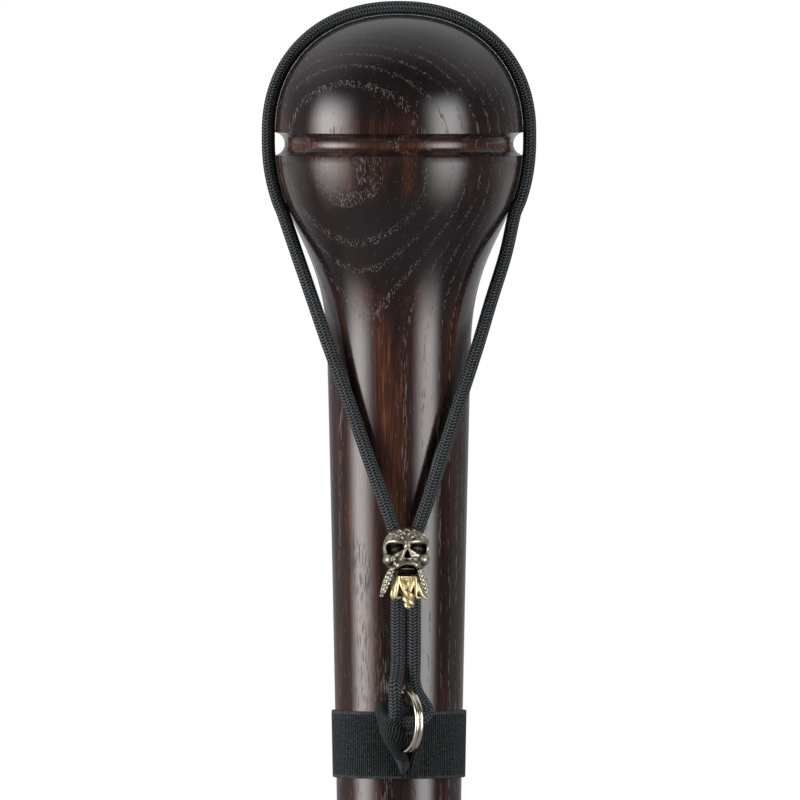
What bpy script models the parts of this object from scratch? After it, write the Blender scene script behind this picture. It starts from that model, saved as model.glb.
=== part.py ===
import math

import bmesh
import bpy
import numpy as np
from mathutils import Matrix, Vector

# All sizes are in metres. +Z runs up the stick, the front faces -Y and the origin is the centre of the foot.

# Stick: head and shaft, one piece of turned wood
HEAD_TOP = 0.915
HEAD_RADIUS = 0.0372
DOME_HEIGHT = 0.0358
DOME_SQUARENESS = 2.19
WAIST_HEIGHT = 0.0019
GROOVE_DROP = 0.003
GROOVE_WIDTH = 0.0069
GROOVE_DEPTH = 0.0029
GROOVE_EDGE = 0.0003
BELL_HEIGHT = 0.0614
BELL_SHOULDER = 0.0268
BELL_NECK = 0.0317
NECK_RADIUS = 0.0216
NECK_FLARE = 0.0007
SHAFT_MIDDLE_RADIUS = 0.0163
SHAFT_LOWER_RADIUS = 0.0138
TIP_RADIUS = 0.0125
TIP_CHAMFER = 0.001

# Rubber ferrule and its washer
FERRULE_HEIGHT = 0.042
FERRULE_FOOT_RADIUS = 0.0185
FERRULE_FOOT_HEIGHT = 0.007
FERRULE_WALL = 0.0028
FERRULE_FLOOR = 0.0085
FERRULE_COLLAR = 0.0045
FERRULE_COLLAR_STEP = 0.0009
TREAD_DEPTH = 0.0012
TREAD_GROOVE = 0.0014
TREAD_FIRST_RADIUS = 0.0065
TREAD_PITCH = 0.0038
TREAD_COUNT = 3
WASHER_THICKNESS = 0.0012
WASHER_HOLE_RADIUS = 0.003

# Cord
CORD_DIAMETER = 0.004
CORD_END_RISE = 0.0086
LEG_STANDOFF = 0.00486
LEG_MIDDLE = 0.00205
LEG_PITCH = 0.0047
HEAD_LEAN = 0.0046
LEAVE_DROP = 0.0605
CORD_POINTS = 76

# Split ring
RING_OUTER_RADIUS = 0.0095
RING_WIRE_WIDTH = 0.0014
RING_COIL = 0.00125
RING_COIL_GAP = 0.0001
RING_DROP = 0.0024
RING_OFFSET = 0.00225
RING_TURN = math.radians(25)
RING_CRANK = math.radians(34)
RING_STEPS = 44

# Elastic band
BAND_DROP = 0.2087
BAND_WIDTH = 0.0201
BAND_THICKNESS = 0.0008
KEEPER_STANDOFF = 0.0052
KEEPER_HEIGHT = 0.0088
KEEPER_HALF_ANGLE = math.radians(19)
EAR_RIM_DROP = 0.0054
EAR_STANDOFF = 0.0139

# Skull bead and its beard
BEAD_DROP = 0.1528
BEAD_STANDOFF = 0.0011
SKULL_HALF_WIDTH = 0.0069
SKULL_HALF_DEPTH = 0.0068
SKULL_HALF_HEIGHT = 0.0079
SKULL_AHEAD = 0.0017
SKULL_TURN = math.radians(4)
JAW_DEPTH = 0.0067
CHANNEL_CLEARANCE = 0.0005
BEARD_LENGTH = 0.0102
BEAD_VOXEL = 0.00036

# Clearance between pieces that touch
CLEARANCE = 0.0003

DOME_BASE = HEAD_TOP - DOME_HEIGHT
GROOVE_MIDDLE = DOME_BASE - GROOVE_DROP
BELL_TOP = DOME_BASE - WAIST_HEIGHT
NECK_HEIGHT = BELL_TOP - BELL_HEIGHT
WASHER_HEIGHT = FERRULE_FLOOR + CLEARANCE
TIP_HEIGHT = WASHER_HEIGHT + WASHER_THICKNESS + CLEARANCE
CORD_RADIUS = CORD_DIAMETER / 2
LEAVE_HEIGHT = HEAD_TOP - LEAVE_DROP
BEAD_TOP = HEAD_TOP - BEAD_DROP
BAND_TOP = HEAD_TOP - BAND_DROP
BAND_BOTTOM = BAND_TOP - BAND_WIDTH
RING_HEIGHT = BAND_TOP - RING_DROP
CORD_END_HEIGHT = RING_HEIGHT + RING_OUTER_RADIUS + CORD_END_RISE
RING_HALF_WIDTH = RING_COIL + RING_COIL_GAP / 2
SKULL_MIDDLE = BEAD_TOP - SKULL_HALF_HEIGHT
BEAD_MOUTH = BEAD_TOP - 0.0012
BEAD_THROAT = BEAD_TOP - 0.0062

# Which way the ring's plane and axis point, seen from above
RING_ALONG = Vector((math.sin(RING_TURN), -math.cos(RING_TURN), 0))
RING_AXIS = Vector((math.cos(RING_TURN), math.sin(RING_TURN), 0))


def start():
    for obj in list(bpy.data.objects):
        bpy.data.objects.remove(obj, do_unlink=True)
    bpy.context.scene.unit_settings.scale_length = 1.0


def collection(name):
    made = bpy.data.collections.new(name)
    bpy.context.scene.collection.children.link(made)
    return made


def material(name, color, roughness, metallic=0.0, coat=0.0):
    made = bpy.data.materials.new(name)
    made.use_nodes = True
    shader = made.node_tree.nodes["Principled BSDF"]
    shader.inputs["Base Color"].default_value = (*color, 1)
    shader.inputs["Roughness"].default_value = roughness
    shader.inputs["Metallic"].default_value = metallic
    shader.inputs["Coat Weight"].default_value = coat
    made.diffuse_color = (*color, 1)
    return made


def add_mesh(name, points, edges, faces, home, look=None):
    mesh = bpy.data.meshes.new(name)
    mesh.from_pydata([tuple(p) for p in points], edges, faces)
    mesh.update()
    obj = bpy.data.objects.new(name, mesh)
    home.objects.link(obj)
    if look:
        mesh.materials.append(look)
    return obj


def finished_mesh(obj, name=None):
    """The object's evaluated mesh, with a curve's loose caps welded."""
    graph = bpy.context.evaluated_depsgraph_get()
    mesh = bpy.data.meshes.new_from_object(obj.evaluated_get(graph))
    mesh.name = name or obj.name
    work = bmesh.new()
    work.from_mesh(mesh)
    bmesh.ops.remove_doubles(work, verts=work.verts, dist=1e-6)
    bmesh.ops.recalc_face_normals(work, faces=work.faces)
    work.to_mesh(mesh)
    work.free()
    return mesh


def made_mesh(obj):
    """Turns a curve, or an object with modifiers, into a plain mesh object in the same place."""
    name = obj.name
    home = obj.users_collection[0]
    mesh = finished_mesh(obj)
    place = obj.matrix_world.copy()
    bpy.data.objects.remove(obj, do_unlink=True)
    mesh.name = name
    made = bpy.data.objects.new(name, mesh)
    made.matrix_world = place
    home.objects.link(made)
    return made


def boolean(obj, other, operation):
    cut = obj.modifiers.new(operation.title() + " " + other.name, "BOOLEAN")
    cut.operation = operation
    cut.solver = "EXACT"
    cut.object = other
    return cut


def turned(name, profile, steps, home, look):
    """A profile of (radius, height), from the top down the outer side, turned about Z."""
    points = [(radius, 0, height) for radius, height in profile]
    edges = [(i, i + 1) for i in range(len(points) - 1)]
    obj = add_mesh(name, points, edges, [], home, look)
    screw = obj.modifiers.new("Turn", "SCREW")
    screw.steps = steps
    screw.render_steps = steps
    screw.use_merge_vertices = True
    screw.merge_threshold = 1e-5
    screw.use_smooth_shade = True
    return obj


def bezier(start_point, first, second, end_point, count):
    """Points along a cubic curve, both ends included."""
    corners = np.array([start_point, first, second, end_point], float)
    t = np.linspace(0, 1, count + 1)[:, None]
    s = 1 - t
    return s**3 * corners[0] + 3 * s * s * t * corners[1] + 3 * s * t * t * corners[2] + t**3 * corners[3]


def smooth_through(points, count, closed=False):
    """Evenly spaced points on a smooth curve through the given ones."""
    given = np.array(points, float)
    if closed:
        ring = np.vstack([given[-1], given, given[0], given[1]])
    else:
        ring = np.vstack([2 * given[0] - given[1], given, 2 * given[-1] - given[-2]])
    fine = []
    for i in range(1, len(ring) - 2):
        before, here, there, after = ring[i - 1 : i + 3]
        for t in np.linspace(0, 1, 24, endpoint=False):
            fine.append(
                0.5
                * (
                    2 * here
                    + (there - before) * t
                    + (2 * before - 5 * here + 4 * there - after) * t * t
                    + (3 * here - before - 3 * there + after) * t**3
                )
            )
    fine.append(ring[-2])
    fine = np.array(fine)
    run = np.concatenate([[0], np.cumsum(np.linalg.norm(np.diff(fine, axis=0), axis=1))])
    wanted = np.linspace(0, run[-1], count)
    return np.column_stack([np.interp(wanted, run, fine[:, k]) for k in range(given.shape[1])])


def tube(name, points, radius, home, look, resolution=2):
    """A round cord or wire with filled ends along the points."""
    data = bpy.data.curves.new(name, "CURVE")
    data.dimensions = "3D"
    data.bevel_depth = radius
    data.bevel_resolution = resolution
    data.use_fill_caps = True
    spline = data.splines.new("POLY")
    spline.points.add(len(points) - 1)
    for point, place in zip(spline.points, points):
        point.co = (*place, 1)
    if look:
        data.materials.append(look)
    obj = bpy.data.objects.new(name, data)
    home.objects.link(obj)
    return obj


# Stick profile

def dome_outline(count):
    angles = np.linspace(0, math.pi / 2, count + 1)
    power = 2 / DOME_SQUARENESS
    radius = HEAD_RADIUS * np.sin(angles) ** power
    height = DOME_BASE + DOME_HEIGHT * np.cos(angles) ** power
    radius[0] = 0
    height[-1] = DOME_BASE
    return np.column_stack([radius, height])


def bell_outline(count):
    return bezier(
        (HEAD_RADIUS, BELL_TOP),
        (HEAD_RADIUS, BELL_TOP - BELL_SHOULDER),
        (NECK_RADIUS + NECK_FLARE, NECK_HEIGHT + BELL_NECK),
        (NECK_RADIUS, NECK_HEIGHT),
        count,
    )


def shaft_outline(count):
    length = NECK_HEIGHT - TIP_HEIGHT
    return bezier(
        (NECK_RADIUS, NECK_HEIGHT),
        (SHAFT_MIDDLE_RADIUS, NECK_HEIGHT - 0.25 * length),
        (SHAFT_LOWER_RADIUS, TIP_HEIGHT + 0.36 * length),
        (TIP_RADIUS, TIP_HEIGHT),
        count,
    )


def groove_outline(count):
    half = GROOVE_WIDTH / 2
    radius = (half * half + GROOVE_DEPTH**2) / (2 * GROOVE_DEPTH)
    middle = HEAD_RADIUS - GROOVE_DEPTH + radius
    reach = math.atan2(half, radius - GROOVE_DEPTH)
    angles = np.linspace(reach, -reach, count + 1)
    return np.column_stack([middle - radius * np.cos(angles), GROOVE_MIDDLE + radius * np.sin(angles)])


def plain_outline(fineness=1):
    """The stick's side without the groove, from the top to the tip."""
    parts = [dome_outline(10 * fineness), bell_outline(11 * fineness)[1:], shaft_outline(9 * fineness)[1:]]
    return np.vstack(parts)


SIDE = plain_outline(6)


def stick_radius(height):
    return float(np.interp(height, SIDE[::-1, 1], SIDE[::-1, 0]))


LEG_DEPTH = stick_radius(SKULL_MIDDLE) + LEG_STANDOFF


def stick_profile():
    top = GROOVE_MIDDLE + GROOVE_WIDTH / 2 + GROOVE_EDGE
    bottom = GROOVE_MIDDLE - GROOVE_WIDTH / 2 - GROOVE_EDGE
    outline = plain_outline()
    above = [tuple(p) for p in outline if p[1] > top]
    below = [tuple(p) for p in outline if p[1] < bottom]
    groove = [(stick_radius(top), top), *map(tuple, groove_outline(6)), (stick_radius(bottom), bottom)]
    end = below.pop()
    tip = [(end[0], end[1] + TIP_CHAMFER), (end[0] - TIP_CHAMFER, end[1]), (0, end[1])]
    return above + groove + below + tip


def make_stick(home):
    wood = material("stained wood", (0.022, 0.010, 0.007), 0.28, coat=0.5)
    obj = turned("stick_body", stick_profile(), 48, home, wood)
    return obj


# Ferrule and washer

def socket_radius():
    return stick_radius(FERRULE_HEIGHT) + CLEARANCE


def ferrule_profile():
    socket = socket_radius()
    outside = socket + FERRULE_WALL
    rim = FERRULE_HEIGHT
    points = [
        (socket, FERRULE_FLOOR),
        (socket, rim - 0.0006),
        (socket + 0.0006, rim),
        (outside + FERRULE_COLLAR_STEP - 0.0008, rim),
        (outside + FERRULE_COLLAR_STEP, rim - 0.0008),
        (outside + FERRULE_COLLAR_STEP, rim - FERRULE_COLLAR),
        (outside, rim - FERRULE_COLLAR - 0.0009),
    ]
    waist_height = FERRULE_FOOT_HEIGHT + 0.006
    sweep = bezier(
        (outside, waist_height + 0.008),
        (outside, waist_height),
        (FERRULE_FOOT_RADIUS, waist_height),
        (FERRULE_FOOT_RADIUS, FERRULE_FOOT_HEIGHT),
        5,
    )
    points += [tuple(p) for p in sweep]
    points += [(FERRULE_FOOT_RADIUS, 0.0012), (FERRULE_FOOT_RADIUS - 0.0012, 0)]
    for i in reversed(range(TREAD_COUNT)):
        middle = TREAD_FIRST_RADIUS + i * TREAD_PITCH
        half = TREAD_GROOVE / 2
        points += [
            (middle + half, 0),
            (middle + half * 0.6, TREAD_DEPTH),
            (middle - half * 0.6, TREAD_DEPTH),
            (middle - half, 0),
        ]
    return [(0, FERRULE_FLOOR), *points, (0, 0)]


def make_ferrule(home):
    rubber = material("black rubber", (0.016, 0.016, 0.017), 0.75)
    return turned("rubber_ferrule", ferrule_profile(), 36, home, rubber)


def make_washer(home):
    steel = material("plated steel", (0.42, 0.41, 0.39), 0.35, 1.0)
    radius = socket_radius() - CLEARANCE
    top = WASHER_HEIGHT + WASHER_THICKNESS
    profile = [
        (WASHER_HOLE_RADIUS, top),
        (radius, top),
        (radius, WASHER_HEIGHT),
        (WASHER_HOLE_RADIUS, WASHER_HEIGHT),
        (WASHER_HOLE_RADIUS, top),
    ]
    return turned("ferrule_washer", profile, 36, home, steel)


# Cord over the head

def leg_points(side, leave):
    """One side's own points from the cord's lower end up to where it leaves the head at the point leave."""
    leg = LEG_MIDDLE + side * LEG_PITCH / 2
    mouth = (leg + side * 0.0012, -LEG_DEPTH, BEAD_MOUTH)
    points = []
    for up in (0, 0.235, 0.53, 0.82):
        points.append((leg, -LEG_DEPTH, CORD_END_HEIGHT + up * (BEAD_THROAT - CORD_END_HEIGHT)))
    points += [(leg + side * 0.0001, -LEG_DEPTH, BEAD_THROAT), mouth]
    # how far each point is across, back and up, as shares of the way from the bead's mouth to the head
    if side < 0:
        shares = [
            (0.090, 0.034, 0.089),
            (0.252, 0.176, 0.249),
            (0.411, 0.313, 0.410),
            (0.594, 0.499, 0.586),
            (0.729, 0.675, 0.723),
            (0.876, 0.855, 0.872),
        ]
    else:
        shares = [
            (0.103, 0.049, 0.089),
            (0.270, 0.186, 0.249),
            (0.438, 0.352, 0.410),
            (0.623, 0.528, 0.586),
            (0.756, 0.694, 0.723),
            (0.907, 0.860, 0.872),
        ]
    for share in shares:
        points.append(tuple(low + s * (high - low) for low, high, s in zip(mouth, leave, share)))
    return points


def head_points(count):
    """Points over the head, from its left side across the top to its right side."""
    outline = SIDE[SIDE[:, 1] > LEAVE_HEIGHT - 0.004]
    along = np.gradient(outline, axis=0)
    along /= np.linalg.norm(along, axis=1)[:, None]
    away = CORD_RADIUS + CLEARANCE
    radius = outline[:, 0] - along[:, 1] * away
    height = outline[:, 1] + along[:, 0] * away
    keep = height > LEAVE_HEIGHT
    radius, height = radius[keep], height[keep]
    drop = (HEAD_TOP - height) / (HEAD_TOP - LEAVE_HEIGHT)
    lean = HEAD_LEAN * np.clip(drop, 0, 1) ** 2
    across = np.sqrt(np.maximum(radius**2 - lean**2, 0))
    half = np.column_stack([across, -lean, height])[1:]
    picked = half[np.linspace(len(half) - 1, 0, count).astype(int)]
    left = picked * (-1, 1, 1)
    top = (0, 0, HEAD_TOP + away)
    return [*map(tuple, left), top, *map(tuple, picked[::-1])]


def clear_of_stick(points):
    """Moves any point that would sink into the wood straight out from the stick's axis."""
    out = []
    for x, y, z in points:
        away = math.hypot(x, y)
        least = stick_radius(z) + CORD_RADIUS + CLEARANCE
        if z < NECK_HEIGHT + 0.02 and away < least:
            x, y = x * least / away, y * least / away
        out.append((x, y, z))
    return np.array(out)


def cord_points():
    head = head_points(9)
    route = leg_points(-1, head[0]) + head + leg_points(1, head[-1])[::-1]
    return clear_of_stick(smooth_through(route, CORD_POINTS))


def make_cord(home, sheath):
    return tube("wrist_cord", cord_points(), CORD_RADIUS, home, sheath, 3)


# Split ring

def ring_centre():
    behind = stick_radius(RING_HEIGHT) + BAND_THICKNESS + 3 * CLEARANCE
    reach = RING_OUTER_RADIUS * math.cos(RING_TURN) + RING_HALF_WIDTH * math.sin(RING_TURN)
    return Vector((RING_OFFSET, -(behind + reach), RING_HEIGHT))


def ring_place(along, up, through=0.0):
    """A point given along the ring's plane, upwards, and along its axis."""
    return ring_centre() + RING_ALONG * along + Vector((0, 0, up)) + RING_AXIS * through


def coil_shift(angle):
    """How far the wire has moved from one coil to the other after turning by this angle."""
    pitch = RING_COIL + RING_COIL_GAP
    first = 2 * math.pi - RING_CRANK / 2
    t = min(max((angle - first) / RING_CRANK, 0), 1)
    return pitch * (t * t * (3 - 2 * t) - 0.5)


def make_ring(home):
    nickel = material("nickel plate", (0.60, 0.56, 0.50), 0.18, 1.0)
    section = [
        (-RING_WIRE_WIDTH / 2, -RING_COIL / 2),
        (RING_WIRE_WIDTH * 0.2, -RING_COIL / 2),
        (RING_WIRE_WIDTH * 0.5, -RING_COIL * 0.22),
        (RING_WIRE_WIDTH * 0.5, RING_COIL * 0.22),
        (RING_WIRE_WIDTH * 0.2, RING_COIL / 2),
        (-RING_WIRE_WIDTH / 2, RING_COIL / 2),
    ]
    middle = RING_OUTER_RADIUS - RING_WIRE_WIDTH / 2
    turn = 4 * math.pi - RING_CRANK * 1.3
    count = 2 * RING_STEPS
    points = []
    for i in range(count + 1):
        angle = turn * i / count + RING_CRANK * 0.65
        shift = coil_shift(angle)
        angle += math.pi
        for out, side in section:
            radius = middle + out
            points.append((radius * math.cos(angle), side + shift, radius * math.sin(angle)))
    width = len(section)
    faces = [tuple(reversed(range(width))), tuple(count * width + k for k in range(width))]
    for i in range(count):
        for k in range(width):
            a, b = i * width + k, i * width + (k + 1) % width
            faces.append((a, b, b + width, a + width))
    obj = add_mesh("split_ring", points, [], faces, home, nickel)
    tidy_normals(obj)
    obj.location = ring_centre()
    obj.rotation_euler = (0, 0, math.atan2(-RING_AXIS.x, RING_AXIS.y))
    obj.data.shade_smooth()
    obj.data.set_sharp_from_angle(angle=math.radians(40))
    return obj


def tidy_normals(obj):
    work = bmesh.new()
    work.from_mesh(obj.data)
    bmesh.ops.recalc_face_normals(work, faces=work.faces)
    work.to_mesh(obj.data)
    work.free()


# Lower end of the cord

def make_knot(home, sheath):
    """One strand comes down left of the ring, the other goes through the ring, and they meet in the fold."""
    left = LEG_MIDDLE - LEG_PITCH / 2
    right = LEG_MIDDLE + LEG_PITCH / 2
    top = CORD_END_HEIGHT - CLEARANCE
    beside = -(RING_HALF_WIDTH + CORD_RADIUS + 1.6 * CLEARANCE)
    down = [
        (left, -LEG_DEPTH, top),
        (left, -LEG_DEPTH, top - 0.0012),
        (left, -LEG_DEPTH - 0.0009, top - 0.0030),
        ring_place(-0.0024, 0.0134, beside + 0.0006),
        ring_place(-0.0002, 0.0106, beside),
        ring_place(0.0004, 0.0070, beside),
        ring_place(0.0004, 0.0030, beside),
        ring_place(-0.0008, -0.0008, beside),
        ring_place(-0.0020, -0.0030, beside),
    ]
    through = [
        (right, -LEG_DEPTH, top),
        (right, -LEG_DEPTH, top - 0.0012),
        (right + 0.0006, -LEG_DEPTH, top - 0.0028),
        (right + 0.0024, -LEG_DEPTH - 0.0002, top - 0.0056),
        (right + 0.0039, -LEG_DEPTH - 0.0006, top - 0.0092),
        ring_place(-0.0008, 0.0028, 0.0072),
        ring_place(0.0000, 0.0004, 0.0048),
        ring_place(0.0002, -0.0004, 0.0014),
        ring_place(0.0002, -0.0006, -0.0020),
        ring_place(0.0000, -0.0010, beside + 0.0002),
    ]
    knot = made_mesh(tube("cord_knot", smooth_through(down, 26), CORD_RADIUS, home, sheath, 3))
    other = made_mesh(tube("strand", smooth_through(through, 26), CORD_RADIUS * 0.98, home, sheath, 3))
    boolean(knot, other, "UNION")
    joined = made_mesh(knot)
    bpy.data.objects.remove(other, do_unlink=True)
    joined.data.shade_smooth()
    return joined


# Elastic band, its keeper and the fold at the ring

def band_surface(height, angle, out=0.0):
    """A point on the middle of the band's thickness, at an angle from the front and a height."""
    radius = stick_radius(height) + CLEARANCE + BAND_THICKNESS / 2 + out
    return (radius * math.sin(angle), -radius * math.cos(angle), height)


def grid(name, rows, home, look, closed=False):
    """A sheet through rows of points, thickened by the elastic's own thickness."""
    width = len(rows[0])
    points = [p for row in rows for p in row]
    faces = []
    for i in range(len(rows) if closed else len(rows) - 1):
        j = (i + 1) % len(rows)
        for k in range(width - 1):
            faces.append((i * width + k, j * width + k, j * width + k + 1, i * width + k + 1))
    obj = add_mesh(name, points, [], faces, home, look)
    thick = obj.modifiers.new("Thickness", "SOLIDIFY")
    thick.thickness = BAND_THICKNESS
    thick.offset = 0
    thick.use_even_offset = True
    return obj


def make_band(home, look):
    steps = 48
    rows = []
    for i in range(steps):
        angle = 2 * math.pi * i / steps
        heights = np.linspace(BAND_BOTTOM, BAND_TOP, 4)
        rows.append([band_surface(h, angle) for h in heights])
    return grid("elastic_band", rows, home, look, closed=True)


def make_keeper(home, look):
    """The short loop of elastic that the back of the ring passes through."""
    rows = []
    middle = RING_HEIGHT
    for i in range(17):
        t = i / 16
        angle = KEEPER_HALF_ANGLE * (2 * t - 1) * 1.06
        out = KEEPER_STANDOFF * math.sin(math.pi * t) ** 0.8
        half = KEEPER_HEIGHT / 2
        rows.append([band_surface(middle + h, angle, out) for h in (-half, -half * 0.33, half * 0.33, half)])
    return grid("keeper", rows, home, look)


def in_front(across, out, height):
    """A point in front of the stick, by how far it is across and how far out from the wood at the ring's height."""
    return (across, -stick_radius(RING_HEIGHT) - out, height)


def ear_curves(count):
    """The fold's upper rim, its belly and its foot, each from the left side to the ring."""
    left = -KEEPER_HALF_ANGLE * 1.06
    rim_height = BAND_TOP - EAR_RIM_DROP
    beside = -(RING_HALF_WIDTH + BAND_THICKNESS / 2 + 1.6 * CLEARANCE)
    under = -(RING_OUTER_RADIUS + BAND_THICKNESS / 2 + 2 * CLEARANCE)
    rim = [
        band_surface(BAND_TOP - 0.0006, left),
        in_front(-0.0069, 0.0041, BAND_TOP - 0.0014),
        in_front(-0.0061, 0.0088, BAND_TOP - 0.0034),
        in_front(-0.0037, EAR_STANDOFF - 0.0012, rim_height),
        ring_place(0.0038, rim_height - RING_HEIGHT, beside),
    ]
    belly = [
        band_surface(BAND_TOP - 0.0090, left),
        in_front(-0.0064, 0.0035, BAND_TOP - 0.0098),
        in_front(-0.0049, 0.0073, BAND_TOP - 0.0115),
        in_front(-0.0022, 0.0097, BAND_TOP - 0.0128),
        ring_place(-0.0010, under, beside),
    ]
    foot = [band_surface(BAND_BOTTOM + 0.0010, left * (1 - t) + math.radians(3.4) * t) for t in np.linspace(0, 1, 5)]
    return [smooth_through(curve, count) for curve in (rim, belly, foot)]


def make_ear(home, look):
    """The fold left of the ring: a flap that opens upwards like a cup and closes to a point at its foot."""
    rows = [[tuple(p) for p in smooth_through(column, 8)] for column in zip(*ear_curves(14))]
    return grid("ear", rows, home, look)


def make_elastic(home):
    look = material("black elastic", (0.012, 0.012, 0.013), 0.85)
    band = made_mesh(make_band(home, look))
    keeper = made_mesh(make_keeper(home, look))
    ear = made_mesh(make_ear(home, look))
    boolean(band, keeper, "UNION")
    boolean(band, ear, "UNION")
    joined = made_mesh(band)
    bpy.data.objects.remove(keeper, do_unlink=True)
    bpy.data.objects.remove(ear, do_unlink=True)
    joined.data.shade_smooth()
    joined.data.set_sharp_from_angle(angle=math.radians(50))
    return joined


# Skull bead and beard

def ball(name, place, size, home):
    """A ball stretched to the half sizes given."""
    mesh = bpy.data.meshes.new(name)
    work = bmesh.new()
    bmesh.ops.create_uvsphere(work, u_segments=24, v_segments=16, radius=1)
    bmesh.ops.transform(work, matrix=Matrix.Diagonal((*size, 1)), verts=work.verts)
    bmesh.ops.translate(work, vec=place, verts=work.verts)
    work.to_mesh(mesh)
    work.free()
    obj = bpy.data.objects.new(name, mesh)
    home.objects.link(obj)
    return obj


def strand(name, points, radii, home):
    """A tapered lock of hair: a curve whose thickness follows the radii."""
    route = smooth_through([(*p, r) for p, r in zip(points, radii)], 14)
    obj = tube(name, route[:, :3], 1.0, home, None, 2)
    for point, radius in zip(obj.data.splines[0].points, route[:, 3]):
        point.radius = radius
    return made_mesh(obj)


def mirrored(pairs):
    return pairs + [((-p[0], p[1], p[2]), s) for p, s in pairs if abs(p[0]) > 1e-6]


def melted(name, pieces, cuts, voxel, home, look):
    """The pieces fused into one smooth casting, then hollowed by the cuts."""
    body = pieces[0]
    work = bmesh.new()
    for piece in pieces:
        work.from_mesh(piece.data)
    work.to_mesh(body.data)
    work.free()
    body.name = name
    fuse = body.modifiers.new("Fuse", "REMESH")
    fuse.mode = "VOXEL"
    fuse.voxel_size = voxel
    for cut in cuts:
        boolean(body, cut, "DIFFERENCE")
    again = body.modifiers.new("Blend", "REMESH")
    again.mode = "VOXEL"
    again.voxel_size = voxel
    soft = body.modifiers.new("Soften", "SMOOTH")
    soft.iterations = 2
    soft.factor = 0.5
    body.data.materials.clear()
    done = made_mesh(body)
    for extra in pieces[1:] + cuts:
        bpy.data.objects.remove(extra, do_unlink=True)
    done.data.materials.append(look)
    return done


def scaled(place):
    """A point of the face, given in shares of the skull's half width, depth and height."""
    return (place[0] * SKULL_HALF_WIDTH, place[1] * SKULL_HALF_DEPTH, place[2] * SKULL_HALF_HEIGHT)


def skull_pieces(home):
    w, d, h = SKULL_HALF_WIDTH, SKULL_HALF_DEPTH, SKULL_HALF_HEIGHT
    pieces = [
        ball("skull_bead", (0, 0, 0), (w, d, h), home),
        ball("jaw", scaled((0, 0.04, -0.42)), (w * 0.86, d * 0.82, h * 0.72), home),
        ball("upper lip", scaled((0, -0.62, -0.50)), (w * 0.50, d * 0.34, h * 0.26), home),
        ball("nose", scaled((0, -0.86, -0.10)), (w * 0.25, d * 0.20, h * 0.26), home),
    ]
    for place, size in mirrored(
        [
            ((0.70, -0.56, -0.22), (0.27, 0.32, 0.20)),
            ((0.42, -0.84, 0.38), (0.40, 0.16, 0.13)),
        ]
    ):
        pieces.append(ball("cheek", scaled(place), scaled(size), home))
    for side in (-1, 1):
        points = [(0.0, -0.93, -0.40), (0.34, -0.94, -0.46), (0.62, -0.84, -0.78), (0.80, -0.80, -1.20), (0.98, -0.76, -1.62)]
        points = [scaled((side * x, y, z)) for x, y, z in points]
        pieces.append(strand("moustache", points, (0.0008, 0.0010, 0.0011, 0.0012, 0.0006), home))
    return pieces


def skull_hollows(home):
    hollows = []
    for place, size in mirrored(
        [
            ((0.48, -0.98, 0.12), (0.37, 0.46, 0.20)),
            ((0.0, -1.06, -0.15), (0.12, 0.30, 0.15)),
            ((0.0, -0.90, -0.74), (0.40, 0.42, 0.17)),
        ]
    ):
        hollows.append(ball("hollow", scaled(place), scaled(size), home))
    return hollows


def channel(home):
    """The slot that both legs of the cord pass through, wider at its mouth."""
    half = LEG_PITCH / 2 + CORD_RADIUS + CHANNEL_CLEARANCE
    deep = CORD_RADIUS + CHANNEL_CLEARANCE
    rows = []
    for height, wider in (
        (-2.5 * BEARD_LENGTH, 0.0),
        (BEAD_THROAT - SKULL_MIDDLE, 0.0),
        (BEAD_MOUTH - SKULL_MIDDLE, 0.0016),
        (1.5 * SKULL_HALF_HEIGHT, 0.0040),
    ):
        row = []
        for i in range(24):
            angle = 2 * math.pi * i / 24
            flat = half + wider - deep
            x = deep * math.cos(angle) + math.copysign(flat, math.cos(angle) + 1e-9)
            row.append((x, deep * math.sin(angle) + SKULL_AHEAD, height))
        rows.append(row)
    points = [p for row in rows for p in row]
    faces = [tuple(reversed(range(24))), tuple(range(72, 96))]
    for i in range(3):
        for k in range(24):
            a, b = i * 24 + k, i * 24 + (k + 1) % 24
            faces.append((a, b, b + 24, a + 24))
    obj = add_mesh("channel", points, [], faces, home)
    tidy_normals(obj)
    return obj


def block(name, low, high, home):
    mesh = bpy.data.meshes.new(name)
    work = bmesh.new()
    bmesh.ops.create_cube(work, size=1)
    size = [b - a for a, b in zip(low, high)]
    middle = [(a + b) / 2 for a, b in zip(low, high)]
    bmesh.ops.transform(work, matrix=Matrix.Diagonal((*size, 1)), verts=work.verts)
    bmesh.ops.translate(work, vec=middle, verts=work.verts)
    work.to_mesh(mesh)
    work.free()
    obj = bpy.data.objects.new(name, mesh)
    home.objects.link(obj)
    return obj


def thin_out(obj, ratio):
    fewer = obj.modifiers.new("Thin out", "DECIMATE")
    fewer.ratio = ratio
    return made_mesh(obj)


def bead_place():
    return Vector((LEG_MIDDLE, -LEG_DEPTH - SKULL_AHEAD, SKULL_MIDDLE))


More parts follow.
